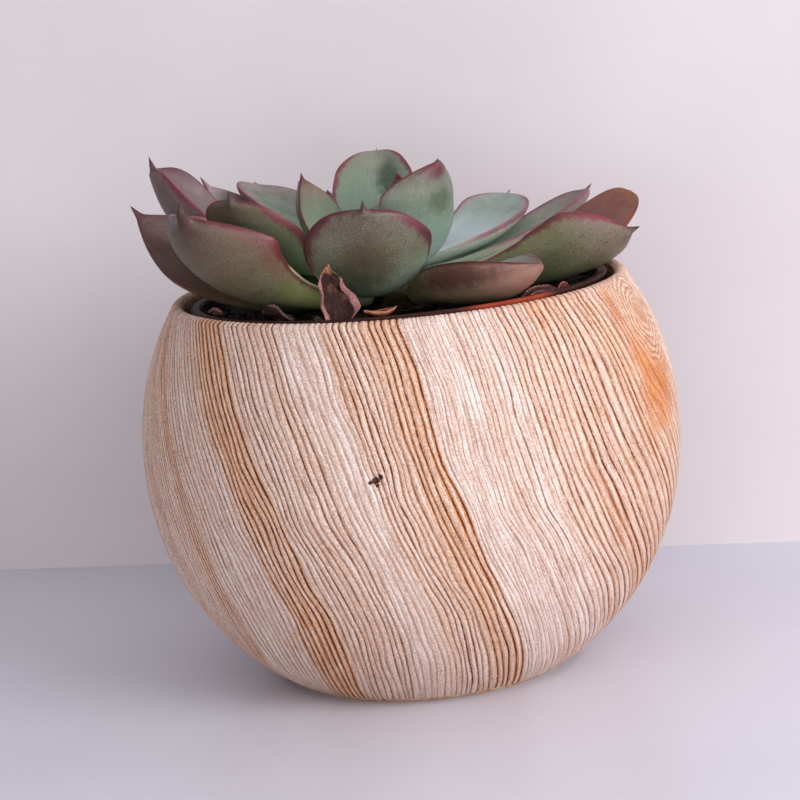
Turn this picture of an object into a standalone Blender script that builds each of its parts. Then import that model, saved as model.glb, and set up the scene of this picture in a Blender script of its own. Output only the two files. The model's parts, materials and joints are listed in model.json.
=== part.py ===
"""Potted succulent: a rosette of keeled, mucronate leaves growing in a thin plastic
nursery pot that stands inside a round wooden bowl.

Metres, +Z up.  The origin is the centre of the bowl's flat foot, and +Y points away
from the side that is usually seen (azimuth 270 is the front).  Dimensions in the
tables below are millimetres and degrees; MM turns them into metres.
"""

import math

import bmesh
import bpy
import numpy as np
from mathutils import Euler, Vector

MM = 0.001

# ---------------------------------------------------------------- driving sizes (mm)
BOWL_R = 55.0            # largest outer radius
BOWL_MID_Z = 47.0        # height of the largest radius
BOWL_FULL_UP = 2.12      # superellipse exponent above the middle: slightly full shoulders
BOWL_FULL_DOWN = 2.04    # and below it
FOOT_R = 28.4            # flat foot
RIM_Z = 79.5             # top of the lip
MOUTH_R = 44.0           # inside of the lip
CAVITY_R = 50.0          # largest inner radius
FLOOR_Z = 7.0            # inside floor
BOWL_STEPS = 56

SEAT_TILT = 1.3          # the nursery pot stands a little askew in the bowl (degrees)
SEAT_UP_AZ = 300.0       # azimuth of its raised side
NURSERY_RIM_Z = 78.85
NURSERY_FOOT_Z = 8.0
NURSERY_FOOT_R = 28.2
NURSERY_BODY_R = 39.6    # just under the collar
NURSERY_COLLAR_R = 41.2
NURSERY_BEAD_R = 42.5
NURSERY_WALL = 0.9
DRAIN_COUNT = 6
DRAIN_R = 3.0
DRAIN_PITCH_R = 18.0

SOIL_GAP = 0.4
SOIL_TOP_Z = 76.65       # level near the pot wall
SOIL_DIP_Z = 74.5        # level around the stem

STEM_R = 5.5             # stem just above the soil
STEM_FOOT_R = 3.0        # and at its buried end
STEM_FOOT_Z = 64.0
SOCKET_GAP = 0.75        # the soil stands this far off the buried stem

# ---------------------------------------------------------------- leaves
# One row a leaf.  The midrib lies in the vertical plane at azimuth az, from
# (rb, zb) at the stem to (rt, zt) at the tip; b1 and b2 push its two inner control
# points towards the underside and side bends it out of the plane.  wid and thk are
# the blade's full width and thickness, cup half the angle of its arched section,
# twist and roll turn that section about the midrib, sm is where the blade is
# widest and beak how blunt it is beyond.
LEAF_COLUMNS = ("az", "rt", "zt", "rb", "zb", "b1", "b2", "side", "wid", "thk", "cup", "twist", "sm", "beak", "roll")
LEAVES = {
    "leaf_outer_01": (14.5, 52.4, 93.5, 7.3, 77.6, 4.1, 7, -2.5, 13.2, 4.2, 16, 23, 0.71, 2.6, 12),
    "leaf_outer_02": (35, 53, 93, 6.9, 80.7, 4.3, 5.3, -0.5, 16.5, 4.2, 36, 2, 0.64, 2.2, -12),
    "leaf_outer_03": (53.5, 43.7, 92.7, 5.5, 83.2, 1.4, 2.6, -3.2, 15.5, 4.2, 33, 18, 0.71, 1.3, -4),
    "leaf_outer_04": (72, 49.1, 87.8, 6.6, 76.9, 1.4, 3.1, -0.7, 17.9, 4.2, 39, 0, 0.63, 1.3, -8),
    "leaf_outer_05": (100, 51.2, 91.5, 6.5, 79.3, 2.5, 4.9, 0.8, 19.4, 4.2, 40, -1, 0.62, 1.4, -14),
    "leaf_outer_06": (128, 47.6, 98.8, 6.7, 81.6, 0.6, -0.7, 3.1, 20.7, 4.2, 27, -15, 0.64, 1.9, 24),
    "leaf_outer_07": (143, 50.5, 101.7, 6.1, 77.3, 9.2, 7.5, -1, 19, 4.2, 41, 2, 0.62, 1.2, 4),
    "leaf_outer_08": (170.5, 49.3, 109.1, 7.8, 81.9, 8.4, 15, 0, 18.7, 4.2, 74, -26, 0.76, 2.6, 20),
    "leaf_outer_09": (188, 52.5, 101, 8.8, 77.9, 6.3, 8.7, 2, 16.3, 4.2, 41, -24, 0.62, 1.05, -41),
    "leaf_outer_10": (221.5, 53.2, 103.6, 7.7, 78.4, 7.1, 12.8, -5.6, 26.9, 4.4, 61, 33, 0.7, 1.3, -22),
    "leaf_outer_11": (306, 46.9, 86.7, 6.6, 77.2, -1, 4.6, -1.3, 20.5, 4.4, 71, 10, 0.57, 1.05, -10),
    "leaf_outer_12": (338.7, 51.8, 89.3, 7.2, 81.9, 7.4, 1.9, 1.5, 18.5, 4.4, 41, -36, 0.66, 1.05, -13.9),
    "leaf_middle_01": (81.5, 35, 95.6, 5.2, 85.2, -0.4, 1.8, -1.5, 17.6, 3.8, 36, 1, 0.62, 1.5, -7),
    "leaf_middle_02": (111.5, 35.6, 95.7, 5.6, 83.5, 1, 2.3, -2, 17.8, 4, 36, 7, 0.62, 1.5, 26),
    "leaf_middle_03": (219, 39.9, 104, 5.3, 83.1, 4.6, 9, -3.7, 21.4, 4.2, 14, 38, 0.63, 2.55, -19),
    "leaf_middle_04": (261.5, 36, 101.2, 5.3, 81.6, 8.6, 8.8, -1, 24.6, 4.4, 19, -15, 0.64, 2.6, 17),
    "leaf_inner_01": (95, 22.5, 105.3, 3.4, 86.9, 2.8, 0.5, 1.8, 18, 3.4, 35, -7, 0.55, 2, -9),
    "leaf_inner_02": (180.5, 17.6, 103.7, 3, 88.3, 10.3, 4.9, 1.1, 13.3, 3.2, 38, -12, 0.54, 1.05, -26),
    "leaf_inner_03": (307.5, 16.3, 105.4, 3.3, 83.3, 7.6, -0.9, 0.2, 23.6, 3.4, 54, 17, 0.6, 1.05, 2),
    "leaf_bud_01": (60, 3.1, 101.9, 1.2, 91, 0.8, 1.5, -0.7, 4, 1.8, 45, 0, 0.55, 1.05, 0),
    "leaf_bud_02": (110, 7.4, 95.2, 1.6, 88.1, 0.7, 0.9, 0.1, 8, 2.4, 45, 0, 0.58, 1.3, 0),
    "leaf_bud_03": (205, 6.4, 94.7, 1.6, 88.8, 0.3, 0.7, 0.1, 7, 2.2, 45, 0, 0.58, 1.3, 0),
    "leaf_bud_04": (335, 8, 98.5, 1.6, 88.5, 1.2, 1.2, 0, 9, 2.4, 45, 0, 0.58, 1.3, 0),
}

# Withered pieces: the same blade, thin and tightly curled; (ox, oy) is where the
# midrib's plane starts.
DRY_COLUMNS = LEAF_COLUMNS + ("ox", "oy")
DRY_LEAVES = {
    "dry_leaf_front": (165, 2.5, 89.1, 0, 77.7, 0.5, 1, 0.3, 8.8, 1, 62, 8, 0.2, 1.1, -53, -10.8, -34.6),
    "dry_leaf_end": (350, 6.5, 80.8, 0, 80.4, 1.2, 1, 0, 2.2, 0.9, 45, 30, 0.4, 1.1, -10, -6.9, -37),
    "dry_scrap_01": (132, 9.2, 79, 0, 78, -1.3, -1.3, 0.5, 3.4, 0.9, 65, 60, 0.5, 1.1, 20, -20.7, -27.6),
    "dry_scrap_02": (200, 2.8, 79.1, 0, 78, -0.3, -0.3, 0.2, 2.6, 0.8, 55, 30, 0.5, 1.1, 10, -35.5, -12),
    "dry_scrap_03": (42, 11, 79.1, 0, 78.5, -0.5, -0.4, 0.5, 3.2, 0.9, 65, 50, 0.45, 1.1, -15, 23.1, -30),
    "dry_scrap_04": (40, 3, 79, 0, 78.3, -0.3, -0.3, 0.2, 2.4, 0.8, 55, 30, 0.5, 1.1, 10, 31.2, -21.8),
}

LEAF_SEGMENTS = 12
LEAF_RINGS = 10


# ---------------------------------------------------------------- blade shape
def blade_width(s, sm, beak):
    """Half width as a share of the widest, from base (0) to tip (1)."""
    base = 0.34 + 0.66 * np.sin(0.5 * np.pi * np.clip(s / sm, 0, 1)) ** 1.35
    v = np.clip((s - sm) / (0.945 - sm), 0, 1)
    tip = np.clip(1 - v**2.3, 0, 1) ** (1 / beak)
    blade = np.where(s < sm, base, tip)
    mucro = 0.22 * np.clip((1.0 - s) / 0.14, 0, 1) ** 1.3 * np.clip((s - 0.5) / 0.3, 0, 1)
    blade = (blade**3 + mucro**3) ** (1 / 3)
    heel = np.sqrt(np.clip(1 - (1 - np.clip(s / 0.035, 0, 1)) ** 2, 0, 1))
    point = np.sqrt(np.clip((1 - s) / 0.02, 0, 1))
    return blade * heel * np.minimum(point, 1)


def leaf_points(p, s, psi):
    """Surface points (mm) for s along the blade and psi round its section:
    0 and pi are the margins, pi/2 the upper face, 3 pi/2 the keeled underside."""
    az = math.radians(p["az"])
    out = np.array([math.cos(az), math.sin(az), 0.0])
    across = np.array([-math.sin(az), math.cos(az), 0.0])
    up = np.array([0.0, 0.0, 1.0])
    p0 = np.array([p["rb"], p["zb"]])
    p3 = np.array([p["rt"], p["zt"]])
    chord = p3 - p0
    below = np.array([chord[1], -chord[0]]) / np.linalg.norm(chord)
    p1 = p0 + chord / 3 + below * p["b1"]
    p2 = p0 + chord * 2 / 3 + below * p["b2"]
    k = s[..., None]
    mid = (1 - k) ** 3 * p0 + 3 * (1 - k) ** 2 * k * p1 + 3 * (1 - k) * k * k * p2 + k**3 * p3
    run = 3 * (1 - k) ** 2 * (p1 - p0) + 6 * (1 - k) * k * (p2 - p1) + 3 * k * k * (p3 - p2)
    speed = np.linalg.norm(run, axis=-1, keepdims=True)
    along = (run / speed)[..., :1] * out + (run / speed)[..., 1:] * up
    origin = np.array([p.get("ox", 0.0), p.get("oy", 0.0), 0.0])
    rib = mid[..., :1] * out + mid[..., 1:] * up + p["side"] * np.sin(np.pi * k) * across + origin
    along = along + p["side"] * np.pi * np.cos(np.pi * k) / speed * across
    along /= np.linalg.norm(along, axis=-1, keepdims=True)
    lateral = across - (along @ across)[..., None] * along
    lateral /= np.linalg.norm(lateral, axis=-1, keepdims=True)
    normal = np.cross(along, lateral)
    turn = np.radians(p["roll"] + p["twist"] * k)
    lateral, normal = (
        lateral * np.cos(turn) + normal * np.sin(turn),
        normal * np.cos(turn) - lateral * np.sin(turn),
    )
    half = 0.5 * p["wid"] * blade_width(s, p["sm"], p["beak"])
    cup = np.radians(p["cup"]) * (0.75 + 0.25 * s)
    t = np.cos(psi)
    arc = t * cup
    thick = p["thk"] * (0.62 + 0.38 * np.sin(np.pi * np.clip(s / 0.9, 0, 1)))
    thick = np.minimum(thick * np.sqrt(np.clip(1 - np.clip(s, 0, 1) ** 7, 0, 1)), 1.5 * half)
    swell = np.clip(1 - t * t, 0, 1) ** 0.62
    keel = 0.22 * np.clip(1 - np.abs(t) * 1.6, 0, 1) * np.clip((s - 0.35) / 0.4, 0, 1)
    height = np.where(np.sin(psi) >= 0, 0.30 * thick * swell, -(0.70 + keel) * thick * swell)
    x = half / cup * np.sin(arc) - height * np.sin(arc)
    y = half / cup * (1 - np.cos(arc)) + height * np.cos(arc)
    return rib + x[..., None] * lateral + y[..., None] * normal


# ---------------------------------------------------------------- helpers
def material(name, color, roughness, metallic=0.0):
    mat = bpy.data.materials.new(name)
    mat.use_nodes = True
    shader = mat.node_tree.nodes["Principled BSDF"]
    shader.inputs["Base Color"].default_value = (*color, 1.0)
    shader.inputs["Roughness"].default_value = roughness
    shader.inputs["Metallic"].default_value = metallic
    mat.diffuse_color = (*color, 1.0)
    return mat


def collection(name):
    made = bpy.data.collections.new(name)
    bpy.context.scene.collection.children.link(made)
    return made


def add_object(name, mesh, into, mat=None, parent=None):
    obj = bpy.data.objects.new(name, mesh)
    into.objects.link(obj)
    if mat is not None:
        mesh.materials.append(mat)
    if parent is not None:
        obj.parent = parent
    return obj


def turned(name, profile, steps, into, mat, parent=None):
    """A solid of revolution: the profile (radius, height in mm) runs from the axis,
    down the outer side and back to the axis."""
    mesh = bpy.data.meshes.new(name)
    points = [(r * MM, 0.0, z * MM) for r, z in profile]
    mesh.from_pydata(points, [(i, i + 1) for i in range(len(points) - 1)], [])
    obj = add_object(name, mesh, into, mat, parent)
    screw = obj.modifiers.new("turn", "SCREW")
    screw.axis = "Z"
    screw.angle = 2 * math.pi
    screw.steps = steps
    screw.render_steps = steps
    screw.use_merge_vertices = True
    screw.merge_threshold = 0.00001
    screw.use_smooth_shade = True
    return obj


def superellipse(radius, exponent, h, reach):
    return radius * (1 - abs(h / reach) ** exponent) ** (1 / exponent)


def add_leaf(name, p, into, mat):
    """A sphere drawn out along the midrib: its poles are the leaf's base and tip."""
    bm = bmesh.new()
    bmesh.ops.create_uvsphere(bm, u_segments=LEAF_SEGMENTS, v_segments=LEAF_RINGS, radius=1.0)
    ball = np.array([v.co[:] for v in bm.verts])
    s = (1 - np.clip(ball[:, 2], -1, 1)) / 2
    psi = np.arctan2(ball[:, 1], ball[:, 0])
    psi = np.where(np.abs(psi) < 1e-4, 0.0, psi)
    psi = np.where(np.abs(np.abs(psi) - np.pi) < 1e-4, np.pi, psi)
    pole = (s < 1e-6) | (s > 1 - 1e-6)
    psi = np.where(pole, 0.0, psi)
    for vert, point in zip(bm.verts, leaf_points(p, s, psi) * MM):
        vert.co = Vector(point)
    if bm.calc_volume(signed=True) < 0:
        bmesh.ops.reverse_faces(bm, faces=bm.faces)
    for face in bm.faces:
        face.smooth = True
    mesh = bpy.data.meshes.new(name)
    bm.to_mesh(mesh)
    bm.free()
    return add_object(name, mesh, into, mat)


# ---------------------------------------------------------------- the pieces
def bowl_radius(z):
    h = z - BOWL_MID_Z
    return superellipse(BOWL_R, BOWL_FULL_UP if h > 0 else BOWL_FULL_DOWN, h, BOWL_R)


def cavity_radius(z):
    h = z - BOWL_MID_Z
    return min(superellipse(CAVITY_R, BOWL_FULL_UP if h > 0 else BOWL_FULL_DOWN, h, CAVITY_R), CAVITY_R)


def make_bowl(into, mat):
    profile = [(0.0, FLOOR_Z)]
    neck_z = BOWL_MID_Z + superellipse(CAVITY_R, BOWL_FULL_UP, MOUTH_R, CAVITY_R)
    profile += [(cavity_radius(FLOOR_Z) - 1.5, FLOOR_Z)]
    count = 9
    for i in range(count + 1):
        z = FLOOR_Z + 1.2 + (neck_z - FLOOR_Z - 1.2) * i / count
        profile.append((max(cavity_radius(z), MOUTH_R if i == count else 0), z))
    # the lip: a small round over a 2.6 mm land
    shoulder_z = RIM_Z - 1.5
    shoulder_r = bowl_radius(shoulder_z)
    profile += [(MOUTH_R, RIM_Z - 1.0), (MOUTH_R + 0.35, RIM_Z - 0.3), (MOUTH_R + 1.0, RIM_Z)]
    profile += [(shoulder_r - 0.95, RIM_Z - 0.12), (shoulder_r - 0.3, RIM_Z - 0.65)]
    outer = 13
    foot_edge = 1.2
    for i in range(outer + 1):
        a = i / outer
        z = shoulder_z + (foot_edge - shoulder_z) * a
        profile.append((bowl_radius(z), z))
    profile += [(FOOT_R + 1.1, 0.3), (FOOT_R, 0.0), (0.0, 0.0)]
    return turned("pot_bowl", profile, BOWL_STEPS, into, mat)


def make_nursery_pot(into, cutters, mat, seat):
    def z(height):
        return height - NURSERY_RIM_Z

    w = NURSERY_WALL
    collar_z = NURSERY_RIM_Z - 8.0
    profile = [
        (0.0, z(NURSERY_FOOT_Z + 1.0)),
        (NURSERY_FOOT_R - w, z(NURSERY_FOOT_Z + 1.0)),
        (NURSERY_BODY_R - w, z(collar_z - 0.4)),
        (NURSERY_COLLAR_R - w, z(collar_z + 0.9)),
        (NURSERY_COLLAR_R - w + 0.2, z(NURSERY_RIM_Z - 0.6)),
        (NURSERY_COLLAR_R - w + 0.5, z(NURSERY_RIM_Z - 0.1)),
        (NURSERY_BEAD_R - 0.4, z(NURSERY_RIM_Z)),
        (NURSERY_BEAD_R, z(NURSERY_RIM_Z - 0.45)),
        (NURSERY_BEAD_R - 0.2, z(NURSERY_RIM_Z - 0.95)),
        (NURSERY_COLLAR_R + 0.1, z(NURSERY_RIM_Z - 1.2)),
        (NURSERY_COLLAR_R, z(collar_z)),
        (NURSERY_BODY_R, z(collar_z - 1.0)),
        (NURSERY_FOOT_R + 0.6, z(NURSERY_FOOT_Z + 0.8)),
        (NURSERY_FOOT_R, z(NURSERY_FOOT_Z)),
        (0.0, z(NURSERY_FOOT_Z)),
    ]
    pot = turned("nursery_pot", profile, 48, into, mat, seat)
    # drain holes through its floor
    bm = bmesh.new()
    for i in range(DRAIN_COUNT):
        a = 2 * math.pi * (i + 0.5) / DRAIN_COUNT
        hole = bmesh.ops.create_cone(
            bm, cap_ends=True, segments=10, radius1=DRAIN_R * MM, radius2=DRAIN_R * MM, depth=4 * MM
        )
        place = Vector(
            (DRAIN_PITCH_R * math.cos(a) * MM, DRAIN_PITCH_R * math.sin(a) * MM, z(NURSERY_FOOT_Z + 0.5) * MM)
        )
        bmesh.ops.translate(bm, verts=hole["verts"], vec=place)
    mesh = bpy.data.meshes.new("drain_cutter")
    bm.to_mesh(mesh)
    bm.free()
    cutter = add_object("drain_cutter", mesh, cutters, None, seat)
    cutter.hide_render = True
    cutter.display_type = "WIRE"
    cut = pot.modifiers.new("drains", "BOOLEAN")
    cut.operation = "DIFFERENCE"
    cut.solver = "EXACT"
    cut.object = cutter
    return pot


def make_soil(into, mat, seat):
    def z(height):
        return height - NURSERY_RIM_Z

    g = SOIL_GAP
    w = NURSERY_WALL
    collar_z = NURSERY_RIM_Z - 8.0
    profile = [
        (0.0, z(STEM_FOOT_Z - 0.6)),
        (STEM_FOOT_R + SOCKET_GAP, z(STEM_FOOT_Z - 0.6)),
        (STEM_R + SOCKET_GAP, z(SOIL_DIP_Z)),
        (16.0, z(SOIL_DIP_Z + 0.5)),
        (29.0, z(SOIL_TOP_Z - 0.1)),
        (NURSERY_COLLAR_R - w - g - 0.5, z(SOIL_TOP_Z)),
        (NURSERY_COLLAR_R - w - g, z(SOIL_TOP_Z - 0.6)),
        (NURSERY_COLLAR_R - w - g, z(collar_z + 1.4)),
        (NURSERY_BODY_R - w - g, z(collar_z - 0.2)),
        (NURSERY_FOOT_R - w - g, z(NURSERY_FOOT_Z + 1.0 + g)),
        (0.0, z(NURSERY_FOOT_Z + 1.0 + g)),
    ]
    return turned("potting_soil", profile, 40, into, mat, seat)


def make_stem(into, mat):
    profile = [
        (0.0, 90.1),
        (0.7, 89.8),
        (1.0, 88.3),
        (1.25, 87.0),
        (2.3, 85.9),
        (2.8, 84.5),
        (2.85, 83.0),
        (3.3, 81.4),
        (4.8, 79.9),
        (5.5, 77.8),
        (STEM_R, SOIL_DIP_Z + 0.3),
        (STEM_FOOT_R + 0.5, STEM_FOOT_Z + 1.2),
        (STEM_FOOT_R - 0.6, STEM_FOOT_Z),
        (0.0, STEM_FOOT_Z),
    ]
    return turned("rosette_stem", profile, 20, into, mat)


def main():
    for obj in list(bpy.data.objects):
        bpy.data.objects.remove(obj, do_unlink=True)

    parts = collection("potted_succulent")
    cutters = collection("cutters")

    wood = material("pot_wood", (0.72, 0.55, 0.43), 0.75)
    plastic = material("nursery_plastic", (0.36, 0.08, 0.045), 0.55)
    earth = material("potting_soil", (0.035, 0.025, 0.018), 0.95)
    stalk = material("stem_bark", (0.24, 0.20, 0.12), 0.8)

    # the nursery pot leans about the middle of its own rim
    seat = bpy.data.objects.new("nursery_seat", None)
    parts.objects.link(seat)
    seat.location = (0.0, 0.0, NURSERY_RIM_Z * MM)
    a = math.radians(SEAT_UP_AZ)
    t = math.radians(SEAT_TILT)
    seat.rotation_mode = "XYZ"
    seat.rotation_euler = Euler((t * math.sin(a), -t * math.cos(a), 0.0), "XYZ")

    make_bowl(parts, wood)
    make_nursery_pot(parts, cutters, plastic, seat)
    make_soil(parts, earth, seat)
    make_stem(parts, stalk)

    tint = {
        "leaf_outer": (0.20, 0.20, 0.13),
        "leaf_middle": (0.20, 0.27, 0.19),
        "leaf_inner": (0.25, 0.36, 0.28),
        "leaf_bud": (0.28, 0.20, 0.17),
    }
    for name, row in LEAVES.items():
        p = dict(zip(LEAF_COLUMNS, row))
        ring = name.rsplit("_", 1)[0]
        add_leaf(name, p, parts, material(name, tint[ring], 0.5))
    for name, row in DRY_LEAVES.items():
        p = dict(zip(DRY_COLUMNS, row))
        add_leaf(name, p, parts, material(name, (0.17, 0.06, 0.035), 0.85))


main()
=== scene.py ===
"""Looks for the potted succulent: a sandblasted wooden bowl, a thin nursery pot with
soil, a rosette of fleshy leaves and a few withered ones.

Row frame, metres, +Z up.  Tables and shape functions below are in millimetres.
"""

import json
import math

import bpy
import numpy as np
from mathutils import Matrix, Vector

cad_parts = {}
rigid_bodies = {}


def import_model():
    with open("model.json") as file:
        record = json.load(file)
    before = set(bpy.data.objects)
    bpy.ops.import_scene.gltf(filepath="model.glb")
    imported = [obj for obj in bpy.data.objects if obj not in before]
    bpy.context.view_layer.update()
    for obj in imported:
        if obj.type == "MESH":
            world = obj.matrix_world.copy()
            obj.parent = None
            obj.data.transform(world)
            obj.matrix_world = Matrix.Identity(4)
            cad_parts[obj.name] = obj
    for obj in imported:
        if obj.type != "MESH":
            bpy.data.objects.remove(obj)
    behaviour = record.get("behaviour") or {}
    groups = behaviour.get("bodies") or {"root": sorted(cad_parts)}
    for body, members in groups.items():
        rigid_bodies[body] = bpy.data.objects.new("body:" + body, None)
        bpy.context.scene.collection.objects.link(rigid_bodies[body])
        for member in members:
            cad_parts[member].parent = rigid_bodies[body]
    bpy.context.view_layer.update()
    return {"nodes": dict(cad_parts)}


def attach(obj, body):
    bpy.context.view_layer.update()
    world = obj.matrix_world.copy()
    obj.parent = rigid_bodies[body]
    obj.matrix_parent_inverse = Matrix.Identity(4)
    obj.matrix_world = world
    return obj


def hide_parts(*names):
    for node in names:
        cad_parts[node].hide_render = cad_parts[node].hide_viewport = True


MM = 0.001

for leftover in list(bpy.data.objects):
    bpy.data.objects.remove(leftover, do_unlink=True)

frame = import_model()
SCENE = bpy.context.scene


# ------------------------------------------------------------------ colours
def lin(r, g, b):
    """A screen colour (0-255) as linear light."""
    out = []
    for c in (r, g, b):
        c = c / 255.0
        out.append(c / 12.92 if c <= 0.04045 else ((c + 0.055) / 1.055) ** 2.4)
    return tuple(out)


# ------------------------------------------------------------------ smooth noise tables
def lattice(seed, *shape):
    return np.random.RandomState(seed).uniform(-1.0, 1.0, shape)


def ease(t):
    return t * t * (3 - 2 * t)


def noise2(table, x, y, wrap_x=True):
    """Smooth value noise; x wraps round the table's first side."""
    nx, ny = table.shape
    ix, iy = np.floor(x).astype(int), np.floor(y).astype(int)
    fx, fy = ease(x - ix), ease(y - iy)
    x0, x1 = ix % nx, (ix + 1) % nx
    y0, y1 = iy % ny, (iy + 1) % ny
    low = table[x0, y0] * (1 - fx) + table[x1, y0] * fx
    high = table[x0, y1] * (1 - fx) + table[x1, y1] * fx
    return low * (1 - fy) + high * fy


# ------------------------------------------------------------------ meshes
def make_mesh(name, verts, faces, mats, attributes=None, face_mats=None):
    """verts in millimetres; attributes maps a name to one number or three a vertex."""
    mesh = bpy.data.meshes.new(name)
    mesh.from_pydata((np.asarray(verts) * MM).tolist(), [], faces)
    for mat in mats:
        mesh.materials.append(mat)
    mesh.polygons.foreach_set("use_smooth", [True] * len(mesh.polygons))
    if face_mats is not None:
        mesh.polygons.foreach_set("material_index", face_mats)
    for key, values in (attributes or {}).items():
        values = np.asarray(values, np.float32)
        if values.ndim == 1:
            mesh.attributes.new(key, "FLOAT", "POINT").data.foreach_set("value", values)
        else:
            mesh.attributes.new(key, "FLOAT_VECTOR", "POINT").data.foreach_set("vector", values.ravel())
    mesh.update()
    obj = bpy.data.objects.new(name, mesh)
    SCENE.collection.objects.link(obj)
    return obj


def ring_faces(rows, cols, first=0):
    """Quads between rings of cols vertices each."""
    faces = []
    for r in range(rows - 1):
        a, b = first + r * cols, first + (r + 1) * cols
        for c in range(cols):
            d = (c + 1) % cols
            faces.append((a + c, b + c, b + d, a + d))
    return faces


def turned(name, profile, cols, mats, wobble=None, attributes=None):
    """A solid of revolution from the outer top round to the inner end; profile (r, z)."""
    angles = np.linspace(0, 2 * np.pi, cols, endpoint=False)
    verts = []
    for i, (r, z) in enumerate(profile):
        rr = np.full(cols, float(r))
        zz = np.full(cols, float(z))
        if wobble is not None:
            rr, zz = wobble(i, angles, rr, zz)
        verts.append(np.stack([rr * np.cos(angles), rr * np.sin(angles), zz], -1))
    return make_mesh(name, np.concatenate(verts), ring_faces(len(profile), cols), mats, attributes)


# ------------------------------------------------------------------ node helper
class Nodes:
    """Small helper to write a Principled material's nodes in a few lines."""

    def __init__(self, name, roughness=0.5, specular=0.5):
        self.mat = bpy.data.materials.new(name)
        self.mat.use_nodes = True
        self.tree = self.mat.node_tree
        self.shader = self.tree.nodes["Principled BSDF"]
        self.shader.inputs["Roughness"].default_value = roughness
        self.shader.inputs["Specular IOR Level"].default_value = specular

    def new(self, kind, **settings):
        node = self.tree.nodes.new(kind)
        for key, value in settings.items():
            setattr(node, key, value)
        return node

    def put(self, socket, value):
        if isinstance(value, bpy.types.NodeSocket):
            self.tree.links.new(value, socket)
        elif isinstance(value, (tuple, list)):
            socket.default_value = tuple(value) + ((1.0,) if socket.type == "RGBA" and len(value) == 3 else ())
        else:
            socket.default_value = value

    def set(self, name, value):
        self.put(self.shader.inputs[name], value)

    def attr(self, name):
        node = self.new("ShaderNodeAttribute", attribute_name=name)
        return node

    def split(self, vector):
        node = self.new("ShaderNodeSeparateXYZ")
        self.put(node.inputs[0], vector)
        return node.outputs[0], node.outputs[1], node.outputs[2]

    def join(self, x, y, z):
        node = self.new("ShaderNodeCombineXYZ")
        for socket, value in zip(node.inputs, (x, y, z)):
            self.put(socket, value)
        return node.outputs[0]

    def math(self, op, a, b=None, c=None, clamp=False):
        node = self.new("ShaderNodeMath", operation=op, use_clamp=clamp)
        self.put(node.inputs[0], a)
        if b is not None:
            self.put(node.inputs[1], b)
        if c is not None:
            self.put(node.inputs[2], c)
        return node.outputs[0]

    def mul(self, a, b):
        return self.math("MULTIPLY", a, b)

    def add(self, a, b):
        return self.math("ADD", a, b)

    def sub(self, a, b):
        return self.math("SUBTRACT", a, b)

    def vmath(self, op, a, b=None, scale=None):
        node = self.new("ShaderNodeVectorMath", operation=op)
        self.put(node.inputs[0], a)
        if b is not None:
            self.put(node.inputs[1], b)
        if scale is not None:
            self.put(node.inputs["Scale"], scale)
        return node.outputs["Value"] if op in ("LENGTH", "DISTANCE", "DOT_PRODUCT") else node.outputs[0]

    def object_mm(self):
        """Place on the object, in millimetres."""
        return self.vmath("SCALE", self.new("ShaderNodeTexCoord").outputs["Object"], scale=1000.0)

    def noise(self, vector, scale, detail=2.0, rough=0.5, distort=0.0):
        node = self.new("ShaderNodeTexNoise")
        self.put(node.inputs["Vector"], vector)
        self.put(node.inputs["Scale"], scale)
        self.put(node.inputs["Detail"], detail)
        self.put(node.inputs["Roughness"], rough)
        self.put(node.inputs["Distortion"], distort)
        return node.outputs["Fac"]

    def cells(self, vector, scale, feature="F1", randomness=1.0):
        node = self.new("ShaderNodeTexVoronoi", feature=feature)
        self.put(node.inputs["Vector"], vector)
        self.put(node.inputs["Scale"], scale)
        self.put(node.inputs["Randomness"], randomness)
        return node.outputs["Distance"]

    def span(self, value, a, b, low=0.0, high=1.0, smooth=True):
        """low where value is a, high where it is b, clamped."""
        node = self.new("ShaderNodeMapRange", interpolation_type="SMOOTHSTEP" if smooth else "LINEAR")
        for key, v in (("Value", value), ("From Min", a), ("From Max", b), ("To Min", low), ("To Max", high)):
            self.put(node.inputs[key], v)
        return node.outputs[0]

    def mix(self, fac, a, b, mode="MIX"):
        node = self.new("ShaderNodeMix", data_type="RGBA", blend_type=mode)
        node.clamp_factor = True
        self.put(node.inputs[0], fac)
        self.put(node.inputs[6], a)
        self.put(node.inputs[7], b)
        return node.outputs[2]

    def ramp(self, value, stops):
        node = self.new("ShaderNodeValToRGB")
        node.color_ramp.interpolation = "EASE" if len(stops) < 3 else "LINEAR"
        elements = node.color_ramp.elements
        while len(elements) < len(stops):
            elements.new(0.5)
        for element, (place, colour) in zip(elements, stops):
            element.position = place
            element.color = (*colour, 1.0)
        self.put(node.inputs[0], value)
        return node.outputs[0]

    def bump(self, height, distance, strength=1.0, normal=None):
        node = self.new("ShaderNodeBump")
        self.put(node.inputs["Height"], height)
        node.inputs["Distance"].default_value = distance
        node.inputs["Strength"].default_value = strength
        if normal is not None:
            self.put(node.inputs["Normal"], normal)
        return node.outputs[0]


# ------------------------------------------------------------------ the bowl's shape
BOWL_R, BOWL_MID_Z, FULL_UP, FULL_DOWN = 55.0, 47.0, 2.12, 2.04
CAVITY_R, MOUTH_R, RIM_Z, FLOOR_Z, FOOT_R = 50.0, 44.0, 79.5, 7.0, 28.4


def bowl_radius(z, radius=BOWL_R):
    h = np.asarray(z, float) - BOWL_MID_Z
    e = np.where(h > 0, FULL_UP, FULL_DOWN)
    return radius * (1 - np.clip(np.abs(h / radius), 0, 1) ** e) ** (1 / e)


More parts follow.
